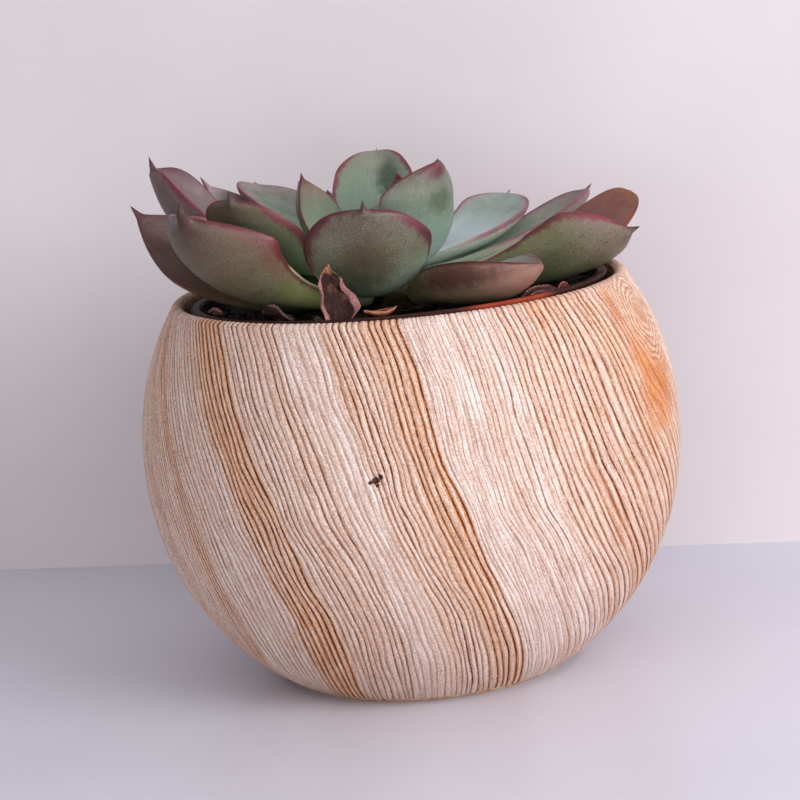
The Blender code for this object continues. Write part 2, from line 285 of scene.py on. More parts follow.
# How the grain leans, as turn about the axis for each millimetre of height: sums of
# cosines round the bowl (rows) with Chebyshev terms in height (columns).
LEAN = np.array(
    [
        [-1.202, -0.99, -0.585, -0.127, -0.109, -0.122, 0.042],
        [-0.335, 1.879, -0.035, 0.052, -0.073, 0.019, -0.052],
        [-0.323, -0.298, -0.383, -0.052, 0.04, 0.016, 0.0],
        [0.002, 0.119, 0.239, 0.019, -0.012, 0.003, 0.013],
        [-0.067, 0.015, 0.057, -0.004, 0.025, 0.013, 0.011],
    ]
)


def lean(phi, z):
    q = np.arccos(np.clip((z - 40.0) / 40.0, -1, 1))
    waves = [np.ones_like(phi)]
    for k in (1, 2, 3):
        waves += [np.cos(k * phi), np.sin(k * phi)]
    waves = np.stack(waves, -1)
    total = 0.0
    for j in range(5):
        total = total + np.cos(j * q) * (waves @ LEAN[j])
    return total / 100.0


def follow_grain(start, heights):
    """Azimuth (radians) of each grain line at each height, from the rim down."""
    out, phi, z = [], start.copy(), 79.0
    for target in heights:
        while z > target + 1e-9:
            step = min(0.5, z - target)
            middle = phi - 0.5 * step * lean(phi, z)
            phi = phi - step * lean(middle, z - 0.5 * step)
            z -= step
        out.append(phi.copy())
    return np.array(out)


# Grain lines, in degrees round the rim.  Each stretch: where it starts, how far
# apart its lines are, how dark they are, and how much orange there is around them.
STRETCHES = [
    # start, spacing, darkness, orange
    (0.0, 1.55, 0.45, 0.35),
    (26.0, 1.15, 0.35, 0.15),
    (48.0, 1.7, 0.55, 0.55),
    (66.0, 1.35, 0.4, 0.3),
    (92.0, 1.9, 0.6, 0.6),
    (109.0, 1.25, 0.35, 0.12),
    (133.0, 1.6, 0.5, 0.4),
    (150.0, 1.35, 0.4, 0.25),
    (172.0, 1.3, 0.42, 0.3),
    (189.3, 1.1, 0.8, 0.75),
    (193.2, 1.45, 0.45, 0.16),
    (209.8, 1.65, 0.95, 0.95),
    (222.0, 1.75, 0.6, 0.38),
    (239.8, 1.8, 0.28, 0.06),
    (250.2, 1.45, 0.68, 0.42),
    (259.6, 1.7, 0.62, 0.6),
    (262.0, 1.75, 1.0, 0.95),
    (270.3, 1.02, 0.3, 0.03),
    (281.0, 1.35, 0.42, 0.12),
    (291.0, 1.55, 0.52, 0.4),
    (300.0, 1.75, 0.72, 0.78),
    (313.0, 1.8, 0.6, 0.75),
    (326.0, 1.6, 0.45, 0.7),
    (338.0, 1.6, 0.45, 0.45),
]


def grain_lines():
    random = np.random.RandomState(11)
    rows = []
    for i, (start, gap, dark, orange) in enumerate(STRETCHES):
        end = STRETCHES[i + 1][0] if i + 1 < len(STRETCHES) else 360.0
        count = max(1, int(round((end - start) / gap)))
        steps = random.uniform(0.72, 1.28, count)
        edges = start + np.concatenate([[0], np.cumsum(steps)[:-1]]) * (end - start) / steps.sum()
        for u in edges:
            rows.append((u, dark * random.uniform(0.5, 1.18), orange * random.uniform(0.7, 1.2)))
    return np.array(rows)


def smooth_stretch(u, column):
    """The stretches' own value at u (degrees), eased over their borders."""
    starts = np.array([row[0] for row in STRETCHES])
    ends = np.append(starts[1:], 360.0)
    centre = (starts + ends) / 2
    flat = np.minimum((ends - starts) / 2 - 0.7, 4.0)
    xs, ys = [], []
    for c, f, row in zip(centre, flat, STRETCHES):
        xs += [c - max(f, 0.05), c + max(f, 0.05)]
        ys += [row[column], row[column]]
    order = np.argsort(xs)
    xs, ys = np.array(xs)[order], np.array(ys)[order]
    return np.interp(np.mod(u, 360.0), xs, ys, period=360.0)


# places on the bowl's outside (mm)
KNOT = Vector((47.6, -22.6, 60.0))
EYE = Vector((47.1, -16.2, 72.0))
CHIP = Vector((-7.25, -54.3, 51.3))


def bowl_wood_material():
    n = Nodes("bowl_wood", roughness=0.78, specular=0.25)
    grain = n.attr("grain").outputs["Vector"]
    lines = n.attr("lines").outputs["Vector"]
    groove, halo, orange = n.split(lines)
    dark = n.attr("dark").outputs["Fac"]
    at = n.object_mm()

    # long fibres: noise stretched along the grain lines
    stretch = n.vmath("MULTIPLY", grain, (1.0, 1.0, 0.075))
    fibre = n.noise(stretch, 1.55, 3.0, 0.6)
    fine = n.noise(n.vmath("MULTIPLY", grain, (1.0, 1.0, 0.16)), 4.2, 2.0, 0.6)
    broad = n.noise(n.vmath("MULTIPLY", grain, (1.0, 1.0, 0.22)), 0.16, 2.0, 0.5)
    # the blasted surface: rough grit, and short dashes along the lines
    dash = n.noise(n.vmath("MULTIPLY", grain, (1.0, 1.0, 0.7)), 2.0, 2.0, 0.7)
    grit = n.noise(at, 2.7, 3.0, 0.75)

    pale = n.ramp(
        fibre,
        [
            (0.30, lin(184, 152, 137)),
            (0.47, lin(210, 185, 174)),
            (0.62, lin(226, 211, 206)),
        ],
    )
    pale = n.mix(n.span(broad, 0.42, 0.62, 0.0, 0.45), pale, lin(205, 168, 145))
    tan = n.ramp(
        fibre,
        [
            (0.32, lin(166, 100, 50)),
            (0.5, lin(192, 129, 79)),
            (0.66, lin(209, 159, 119)),
        ],
    )
    near = n.add(halo, n.mul(n.sub(fine, 0.5), 0.7))
    near = n.add(near, n.mul(n.sub(grit, 0.5), -0.9))
    amount = n.mul(orange, n.span(near, 0.05, 0.9, 0.22, 1.0))
    amount = n.mul(amount, n.span(broad, 0.3, 0.6, 1.15, 0.8))
    colour = n.mix(n.math("MULTIPLY", amount, 1.05, clamp=True), pale, tan)

    # the crests are painted pale as a highlight on the ridges, and every groove holds a thin, broken dark line
    crest_highlight = n.span(halo, 0.45, 0.0)
    colour = n.mix(n.mul(crest_highlight, n.span(fine, 0.38, 0.6, 0.05, 0.4)), colour, lin(226, 211, 206))
    # fine secondary fibres drawn between the main lines
    thin = n.mul(n.span(fine, 0.43, 0.31), n.span(halo, 1.2, 0.2, 0.25, 0.8))
    colour = n.mix(n.mul(thin, 0.7), colour, lin(146, 98, 70))
    between = n.noise(n.vmath("MULTIPLY", grain, (1.0, 1.0, 0.09)), 0.5, 1.0, 0.5)
    second = n.mul(n.span(halo, 0.26, 0.06), n.span(between, 0.48, 0.58))
    colour = n.mix(n.mul(second, n.span(dash, 0.38, 0.58, 0.1, 0.5)), colour, lin(132, 88, 64))
    # dust of dark and light specks
    colour = n.mix(n.span(grit, 0.48, 0.32, 0.0, 0.62), colour, n.mix(orange, lin(160, 117, 92), lin(146, 86, 44)))
    colour = n.mix(n.mul(n.span(grit, 0.53, 0.67, 0.0, 0.75), n.span(orange, 0.2, 1.0, 1.0, 0.5)), colour, lin(237, 229, 226))
    broken = n.span(n.noise(n.vmath("MULTIPLY", grain, (1.0, 1.0, 0.5)), 1.3, 2.0, 0.6), 0.3, 0.56, 0.45, 1.0)
    line = n.span(n.mul(groove, n.span(dash, 0.32, 0.58, 0.5, 1.3)), 0.08, 0.5)
    line = n.mul(line, n.mul(n.math("POWER", dark, 0.6), broken))
    line_colour = n.mix(orange, lin(98, 60, 46), lin(88, 40, 16))
    colour = n.mix(n.math("MULTIPLY", line, 1.2, clamp=True), colour, line_colour)

    # the knot: a warm orange patch, and the rings that turn round its eye
    def patch(place, stretch_z, inner, outer, wander):
        away = n.vmath("SUBTRACT", at, tuple(place))
        away = n.vmath("MULTIPLY", away, (1.0, 1.0, stretch_z))
        far = n.vmath("LENGTH", away)
        far = n.add(far, n.mul(n.sub(n.noise(at, 0.22, 2.0, 0.5), 0.5), wander))
        return far, n.span(far, inner, outer, 1.0, 0.0)

    resin = n.ramp(n.add(n.mul(fibre, 0.5), n.mul(grit, 0.5)), [(0.36, lin(160, 84, 30)), (0.6, lin(208, 142, 88))])
    far, spot = patch(KNOT, 0.62, 3.0, 11.0, 7.0)
    colour = n.mix(n.mul(spot, 0.9), colour, resin)
    far, spot = patch((40.8, -25.5, 75.5), 0.35, 0.8, 3.4, 2.0)
    colour = n.mix(n.mul(spot, 0.5), colour, resin)
    far, eye = patch(EYE, 0.8, 6.5, 10.5, 2.6)
    ring = n.math("SINE", n.mul(far, 5.0))
    rings = n.mix(n.span(n.add(ring, n.mul(n.sub(grit, 0.5), 3.0)), -0.9, 0.5), lin(164, 112, 76), lin(214, 184, 164))
    rings = n.mix(n.span(far, 4.0, 1.5, 0.0, 0.7), rings, lin(178, 122, 78))
    colour = n.mix(n.mul(eye, 0.65), colour, rings)

    # small flaws
    def flaw(place, size, tint, squash=(1.0, 1.0, 1.0)):
        away = n.vmath("MULTIPLY", n.vmath("SUBTRACT", at, place), squash)
        far = n.add(n.vmath("LENGTH", away), n.mul(n.sub(n.noise(at, 1.6, 2.0, 0.6), 0.5), size * 0.9))
        return n.mix(n.span(far, size * 0.75, size * 1.05, 1.0, 0.0), tint[0], tint[1])

    for place, size in (
        ((CHIP.x, CHIP.y, CHIP.z), 0.85),
        ((CHIP.x + 0.95, CHIP.y, CHIP.z + 0.6), 0.6),
        ((CHIP.x - 0.95, CHIP.y, CHIP.z - 0.35), 0.5),
        ((CHIP.x + 0.25, CHIP.y, CHIP.z - 0.95), 0.4),
        ((-18.9, -47.6, 72.4), 0.26),
        ((-17.2, -49.0, 69.2), 0.28),
        ((-2.6, -51.2, 71.9), 0.2),
        ((11.0, -50.4, 70.3), 0.24),
    ):
        colour = flaw(place, size, (colour, lin(58, 32, 20)))

    n.set("Base Color", colour)
    n.set("Roughness", n.span(fibre, 0.3, 0.7, 0.86, 0.66))
    height = n.add(n.mul(fibre, 0.4), n.add(n.mul(fine, 0.35), n.mul(dash, 0.5)))
    height = n.add(height, n.mul(grit, 0.6))
    height = n.add(height, n.mul(n.mul(eye, ring), 0.25))
    n.set("Normal", n.bump(height, 0.0003, 0.75))
    return n.mat


def make_bowl(wood, inside):
    lines = grain_lines()
    u0 = lines[:, 0]
    u1 = np.append(u0[1:], u0[0] + 360.0)
    gap = u1 - u0
    count = len(u0)
    # four columns a line: its groove, both flanks and the crest to the next line
    share = np.array([0.0, 0.17, 0.5, 0.83])
    U = (u0[:, None] + gap[:, None] * share).ravel()
    groove = np.tile([1.0, 0.0, 0.0, 0.0], count)
    halo = np.tile([1.0, 0.95, 0.0, 0.95], count)
    own = np.repeat(np.arange(count), 4)
    nxt = (own + 1) % count
    weight = np.tile(share, count)
    orange = lines[own, 2] * (1 - weight) + lines[nxt, 2] * weight
    dark = np.where(weight < 0.3, lines[own, 1], lines[nxt, 1])
    width = np.repeat(gap, 4)

    outer = 92
    angle = np.linspace(0, 1, outer)
    heights = 78.0 + (1.2 - 78.0) * angle
    # rows closer together where the wall runs level, towards the foot
    heights = BOWL_MID_Z + 55.0 * np.sin(np.linspace(math.asin((78.0 - 47) / 55), math.asin((1.2 - 47) / 55), outer))
    lip = [(MOUTH_R, 78.5), (MOUTH_R + 0.35, 79.2), (MOUTH_R + 1.0, RIM_Z)]
    shoulder = float(bowl_radius(78.0))
    lip += [(shoulder - 0.95, RIM_Z - 0.12), (shoulder - 0.3, RIM_Z - 0.65)]
    radii = np.array([r for r, z in lip] + list(bowl_radius(heights)))
    zs = np.array([z for r, z in lip] + list(heights))

    # the lines wander together in slow waves
    slow, quick, single = lattice(3, 48, 40), lattice(4, 110, 60), lattice(5, 400, 60)
    phi = follow_grain(np.radians(U), np.minimum(zs, 79.0))
    Ug = np.broadcast_to(U, phi.shape)
    Zg = np.broadcast_to(zs[:, None], phi.shape)
    calm = np.clip((80.0 - Zg) / 10.0, 0.15, 1.0)
    shift = 0.62 * noise2(slow, Ug / 7.5, Zg / 11.0 + 3) + 0.30 * noise2(quick, Ug / 360 * 110, Zg / 6.0)
    shift = shift + 0.10 * noise2(single, Ug / 0.9, Zg / 3.2)
    phi = phi + np.radians(shift * calm * np.interp(np.mod(Ug, 360), [180, 205, 230, 300, 330], [0.6, 1, 1.1, 1, 0.6]))

    # they bend round the knot's eye
    R = np.broadcast_to(radii[:, None], phi.shape).copy()
    eye_phi = math.atan2(EYE.y, EYE.x)
    dx = (np.mod(phi - eye_phi + np.pi, 2 * np.pi) - np.pi) * R
    dz = (Zg - EYE.z) * 0.6
    push = 2.3 * np.exp(-(dx**2 + dz**2) / 42.0) * np.tanh(dx / 1.6)
    knot_phi = math.atan2(KNOT.y, KNOT.x)
    dx = (np.mod(phi - knot_phi + np.pi, 2 * np.pi) - np.pi) * R
    dz = (Zg - KNOT.z) * 0.55
    push = push + 1.5 * np.exp(-(dx**2 + dz**2) / 36.0) * np.tanh(dx / 1.6)
    phi = phi + push / R

    # grooves and crests
    deep = lattice(6, count, 40)
    depth = 0.12 + 0.18 * np.clip(dark, 0, 1)
    depth = depth * np.clip(width / 1.5, 0.55, 1.15)
    vary = 0.78 + 0.34 * noise2(deep, np.broadcast_to(own.astype(float), phi.shape), Zg / 9.0)
    fade = np.interp(zs, [0.0, 1.2, 4.0, 77.0, 78.6, 79.4, 79.6], [0.0, 0.15, 1.0, 1.0, 0.9, 0.75, 0.55])[:, None]
    near_eye = np.exp(-(((np.mod(phi - eye_phi + np.pi, 2 * np.pi) - np.pi) * R) ** 2 + ((Zg - EYE.z) * 0.75) ** 2) / 55.0)
    relief = -(groove * depth) * vary * fade * (1 - 0.85 * near_eye)
    relief = relief + (0.06 * (halo < 0.5) - 0.03 * (groove < 0.5) * (halo > 0.5)) * fade
    bumpy = 0.05 * noise2(single, Ug / 1.1 + 7, Zg / 1.9)
    relief = relief + bumpy * fade * (halo < 0.9)
    # relief works along the surface normal of the profile
    tangent = np.gradient(np.stack([radii, zs], -1), axis=0)
    tangent /= np.linalg.norm(tangent, axis=1, keepdims=True)
    normal = np.stack([-tangent[:, 1], tangent[:, 0]], -1)
    R = R + relief * normal[:, 0:1]
    Z = Zg + relief * normal[:, 1:2]
    # the chip is a small pit
    P = np.stack([R * np.cos(phi), R * np.sin(phi), Z], -1)
    far = np.linalg.norm((P - np.array(CHIP)) * np.array([1, 1, 1.2]), axis=-1)
    pit = 0.7 * np.clip(1 - far / 1.7, 0, 1)
    P[..., :2] *= (1 - pit / R)[..., None]
    verts = P.reshape(-1, 3)
    cols = len(U)
    rows = len(zs)

    grain = np.stack([55.0 * np.cos(np.radians(Ug)), 55.0 * np.sin(np.radians(Ug)), Zg], -1)
    # streak noise keeps the same spacing however the lines spread
    lines_attr = np.stack(
        [
            np.broadcast_to(groove, phi.shape),
            np.broadcast_to(halo, phi.shape),
            np.clip(np.broadcast_to(orange, phi.shape) * (1 + 0.35 * noise2(slow, Ug / 9.0 + 5, Zg / 17.0)), 0, 1),
        ],
        -1,
    )
    lines_attr[..., 0] *= 1 - near_eye
    dark_attr = np.clip(np.broadcast_to(dark, phi.shape) * (1 + 0.35 * noise2(deep, np.broadcast_to(own.astype(float), phi.shape), Zg / 13.0 + 9)), 0, 1.2)
    bowl = make_mesh(
        "wooden_bowl",
        verts,
        ring_faces(rows, cols),
        [wood],
        {"grain": grain.reshape(-1, 3), "lines": lines_attr.reshape(-1, 3), "dark": dark_attr.ravel()},
    )
    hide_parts("pot_bowl")
    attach(bowl, "root")

    # the turned inside and the flat foot
    neck = BOWL_MID_Z + CAVITY_R * (1 - (MOUTH_R / CAVITY_R) ** FULL_UP) ** (1 / FULL_UP)
    cavity = [(MOUTH_R, 78.6), (MOUTH_R, neck)]
    for z in np.linspace(neck - 1.5, FLOOR_Z + 1.2, 22):
        cavity.append((float(bowl_radius(z, CAVITY_R)), z))
    cavity += [(float(bowl_radius(FLOOR_Z, CAVITY_R)) - 1.5, FLOOR_Z), (12.0, FLOOR_Z), (0.02, FLOOR_Z)]
    tool = lattice(8, 60, 30)

    def turned_marks(i, a, r, z):
        return r + 0.05 * noise2(tool, a / (2 * np.pi) * 60, np.full_like(a, i * 0.9)), z

    hollow = turned("bowl_inside", cavity, 144, [inside], turned_marks)
    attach(hollow, "root")
    foot = [(29.62, 1.2), (29.5, 0.3), (FOOT_R, 0.0), (20.0, 0.0), (10.0, 0.0), (0.02, 0.0)]
    base = turned("bowl_foot", foot, 144, [inside])
    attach(base, "root")


def bowl_inside_material():
    n = Nodes("bowl_inside_wood", roughness=0.8, specular=0.2)
    at = n.object_mm()
    stretch = n.vmath("MULTIPLY", at, (1.0, 1.0, 0.1))
    fibre = n.noise(stretch, 0.7, 4.0, 0.6, 0.3)
    colour = n.ramp(fibre, [(0.3, lin(168, 118, 82)), (0.5, lin(200, 158, 128)), (0.7, lin(218, 184, 160))])
    colour = n.mix(n.span(n.noise(stretch, 2.6, 2.0, 0.6), 0.42, 0.3, 0.0, 0.5), colour, lin(134, 88, 56))
    n.set("Base Color", colour)
    n.set("Roughness", n.span(fibre, 0.3, 0.7, 0.85, 0.7))
    n.set("Normal", n.bump(n.noise(at, 1.2, 4.0, 0.6), 0.0003, 0.6))
    return n.mat


# ------------------------------------------------------------------ leaves
LEAF_COLUMNS = ("az", "rt", "zt", "rb", "zb", "b1", "b2", "side", "wid", "thk", "cup", "twist", "sm", "beak", "roll")
LEAVES = {
    "leaf_outer_01": (14.5, 52.4, 93.5, 7.3, 77.6, 4.1, 7, -2.5, 13.2, 4.2, 16, 23, 0.71, 2.6, 12),
    "leaf_outer_02": (35, 53, 93, 6.9, 80.7, 4.3, 5.3, -0.5, 16.5, 4.2, 36, 2, 0.64, 2.2, -12),
    "leaf_outer_03": (53.5, 43.7, 92.7, 5.5, 83.2, 1.4, 2.6, -3.2, 15.5, 4.2, 33, 18, 0.71, 1.3, -4),
    "leaf_outer_04": (72, 49.1, 87.8, 6.6, 76.9, 1.4, 3.1, -0.7, 17.9, 4.2, 39, 0, 0.63, 1.3, -8),
    "leaf_outer_05": (100, 51.2, 91.5, 6.5, 79.3, 2.5, 4.9, 0.8, 19.4, 4.2, 40, -1, 0.62, 1.4, -14),
    "leaf_outer_06": (128, 47.6, 98.8, 6.7, 81.6, 0.6, -0.7, 3.1, 20.7, 4.2, 27, -15, 0.64, 1.9, 24),
    "leaf_outer_07": (143, 50.5, 101.7, 6.1, 77.3, 9.2, 7.5, -1, 19, 4.2, 41, 2, 0.62, 1.2, 4),
    "leaf_outer_08": (170.5, 49.3, 109.1, 7.8, 81.9, 8.4, 15, 0, 18.7, 4.2, 74, -26, 0.76, 2.6, 20),
    "leaf_outer_09": (188, 52.5, 101, 8.8, 77.9, 6.3, 8.7, 2, 16.3, 4.2, 41, -24, 0.62, 1.05, -41),
    "leaf_outer_10": (221.5, 53.2, 103.6, 7.7, 78.4, 7.1, 12.8, -5.6, 26.9, 4.4, 61, 33, 0.7, 1.3, -22),
    "leaf_outer_11": (306, 46.9, 86.7, 6.6, 77.2, -1, 4.6, -1.3, 20.5, 4.4, 71, 10, 0.57, 1.05, -10),
    "leaf_outer_12": (338.7, 51.8, 89.3, 7.2, 81.9, 7.4, 1.9, 1.5, 18.5, 4.4, 41, -36, 0.66, 1.05, -13.9),
    "leaf_middle_01": (81.5, 35, 95.6, 5.2, 85.2, -0.4, 1.8, -1.5, 17.6, 3.8, 36, 1, 0.62, 1.5, -7),
    "leaf_middle_02": (111.5, 35.6, 95.7, 5.6, 83.5, 1, 2.3, -2, 17.8, 4, 36, 7, 0.62, 1.5, 26),
    "leaf_middle_03": (219, 39.9, 104, 5.3, 83.1, 4.6, 9, -3.7, 21.4, 4.2, 14, 38, 0.63, 2.55, -19),
    "leaf_middle_04": (261.5, 36, 101.2, 5.3, 81.6, 8.6, 8.8, -1, 24.6, 4.4, 19, -15, 0.64, 2.6, 17),
    "leaf_inner_01": (95, 22.5, 105.3, 3.4, 86.9, 2.8, 0.5, 1.8, 18, 3.4, 35, -7, 0.55, 2, -9),
    "leaf_inner_02": (180.5, 17.6, 103.7, 3, 88.3, 10.3, 4.9, 1.1, 13.3, 3.2, 38, -12, 0.54, 1.05, -26),
    "leaf_inner_03": (307.5, 16.3, 105.4, 3.3, 83.3, 7.6, -0.9, 0.2, 23.6, 3.4, 54, 17, 0.6, 1.05, 2),
    "leaf_bud_01": (60, 3.1, 101.9, 1.2, 91, 0.8, 1.5, -0.7, 4, 1.8, 45, 0, 0.55, 1.05, 0),
    "leaf_bud_02": (110, 7.4, 95.2, 1.6, 88.1, 0.7, 0.9, 0.1, 8, 2.4, 45, 0, 0.58, 1.3, 0),
    "leaf_bud_03": (205, 6.4, 94.7, 1.6, 88.8, 0.3, 0.7, 0.1, 7, 2.2, 45, 0, 0.58, 1.3, 0),
    "leaf_bud_04": (335, 8, 98.5, 1.6, 88.5, 1.2, 1.2, 0, 9, 2.4, 45, 0, 0.58, 1.3, 0),
}
DRY_COLUMNS = LEAF_COLUMNS + ("ox", "oy")
DRY_LEAVES = {
    "dry_leaf_front": (165, 2.5, 89.1, 0, 77.7, 0.5, 1, 0.3, 8.8, 1, 62, 8, 0.2, 1.1, -53, -10.8, -34.6),
    "dry_leaf_end": (350, 6.5, 80.8, 0, 80.4, 1.2, 1, 0, 2.2, 0.9, 45, 30, 0.4, 1.1, -10, -6.9, -37),
    "dry_scrap_01": (132, 9.2, 79, 0, 78, -1.3, -1.3, 0.5, 3.4, 0.9, 65, 60, 0.5, 1.1, 20, -20.7, -27.6),
    "dry_scrap_02": (200, 2.8, 79.1, 0, 78, -0.3, -0.3, 0.2, 2.6, 0.8, 55, 30, 0.5, 1.1, 10, -35.5, -12),
    "dry_scrap_03": (42, 11, 79.1, 0, 78.5, -0.5, -0.4, 0.5, 3.2, 0.9, 65, 50, 0.45, 1.1, -15, 23.1, -30),
    "dry_scrap_04": (40, 3, 79, 0, 78.3, -0.3, -0.3, 0.2, 2.4, 0.8, 55, 30, 0.5, 1.1, 10, 31.2, -21.8),
}


def blade_width(s, sm, beak, horn=0.5, end=0.945):
    """Half width as a share of the widest, from base (0) to tip (1); the blade runs
    to end, and horn is how stout the soft point beyond it is."""
    base = 0.34 + 0.66 * np.sin(0.5 * np.pi * np.clip(s / sm, 0, 1)) ** 1.35
    v = np.clip((s - sm) / (end - sm), 0, 1)
    tip = np.clip(1 - v**2.2, 0, 1) ** (1 / beak)
    blade = np.where(s < sm, base, tip)
    mucro = horn * np.clip((1.0 - s) / 0.3, 0, 1) ** 1.15 * np.clip((s - 0.45) / 0.3, 0, 1)
    blade = (blade**2.2 + mucro**2.2) ** (1 / 2.2)
    heel = np.sqrt(np.clip(1 - (1 - np.clip(s / 0.035, 0, 1)) ** 2, 0, 1))
    point = np.sqrt(np.clip((1 - s) / 0.02, 0, 1))
    return blade * heel * np.minimum(point, 1)


def leaf_points(p, s, psi, nick=None):
    """Surface points (mm) for s along the blade and psi round its section:
    0 and pi are the margins, pi/2 the upper face, 3 pi/2 the keeled underside."""
    az = math.radians(p["az"])
    out = np.array([math.cos(az), math.sin(az), 0.0])
    across = np.array([-math.sin(az), math.cos(az), 0.0])
    up = np.array([0.0, 0.0, 1.0])
    p0 = np.array([p["rb"], p["zb"]])
    p3 = np.array([p["rt"], p["zt"]])
    chord = p3 - p0
    below = np.array([chord[1], -chord[0]]) / np.linalg.norm(chord)
    p1 = p0 + chord / 3 + below * p["b1"]
    p2 = p0 + chord * 2 / 3 + below * p["b2"]
    k = s[..., None]
    mid = (1 - k) ** 3 * p0 + 3 * (1 - k) ** 2 * k * p1 + 3 * (1 - k) * k * k * p2 + k**3 * p3
    run = 3 * (1 - k) ** 2 * (p1 - p0) + 6 * (1 - k) * k * (p2 - p1) + 3 * k * k * (p3 - p2)
    speed = np.linalg.norm(run, axis=-1, keepdims=True)
    along = (run / speed)[..., :1] * out + (run / speed)[..., 1:] * up
    origin = np.array([p.get("ox", 0.0), p.get("oy", 0.0), 0.0])
    rib = mid[..., :1] * out + mid[..., 1:] * up + p["side"] * np.sin(np.pi * k) * across + origin
    along = along + p["side"] * np.pi * np.cos(np.pi * k) / speed * across
    along /= np.linalg.norm(along, axis=-1, keepdims=True)
    lateral = across - (along @ across)[..., None] * along
    lateral /= np.linalg.norm(lateral, axis=-1, keepdims=True)
    normal = np.cross(along, lateral)
    turn = np.radians(p["roll"] + p["twist"] * k)
    lateral, normal = (
        lateral * np.cos(turn) + normal * np.sin(turn),
        normal * np.cos(turn) - lateral * np.sin(turn),
    )
    half = 0.5 * p["wid"] * blade_width(s, p["sm"], p["beak"], p.get("horn", 0.5), p.get("end", 0.945))
    if nick is not None:
        half = half * nick
    cup = np.radians(p["cup"]) * (0.75 + 0.25 * s)
    t = np.cos(psi)
    arc = t * cup
    thick = p["thk"] * (0.62 + 0.38 * np.sin(np.pi * np.clip(s / 0.9, 0, 1)))
    thick = np.minimum(thick * np.sqrt(np.clip(1 - np.clip(s, 0, 1) ** 7, 0, 1)), 1.5 * half)
    swell = np.clip(1 - t * t, 0, 1) ** 0.62
    keel = 0.22 * np.clip(1 - np.abs(t) * 1.6, 0, 1) * np.clip((s - 0.35) / 0.4, 0, 1)
    height = np.where(np.sin(psi) >= 0, 0.30 * thick * swell, -(0.70 + keel) * thick * swell)
    x = half / cup * np.sin(arc) - height * np.sin(arc)
    y = half / cup * (1 - np.cos(arc)) + height * np.cos(arc)
    return rib + x[..., None] * lateral + y[..., None] * normal


def blade_grid(rows, cols):
    """s and psi for a closed blade: both poles, then rings between them."""
    v = np.linspace(0, 1, rows + 2)[1:-1]
    s = (1 - np.cos(np.pi * v)) / 2
    psi = 2 * np.pi * np.arange(cols) / cols
    S, PSI = np.meshgrid(s, psi, indexing="ij")
    S = np.concatenate([S.ravel(), [0.0, 1.0]])
    PSI = np.concatenate([PSI.ravel(), [0.0, 0.0]])
    faces = ring_faces(rows, cols)
    base, tip, last = rows * cols, rows * cols + 1, (rows - 1) * cols
    for c in range(cols):
        d = (c + 1) % cols
        faces.append((base, c, d))
        faces.append((tip, last + d, last + c))
    return S, PSI, faces


def facing_out(verts, faces):
    """Faces turned so that the closed mesh has a positive volume."""
    total = 0.0
    for f in faces:
        a, b, c = verts[f[0]], verts[f[1]], verts[f[2]]
        total += np.dot(a, np.cross(b, c))
        if len(f) == 4:
            total += np.dot(a, np.cross(c, verts[f[3]]))
    return faces if total > 0 else [tuple(reversed(f)) for f in faces]


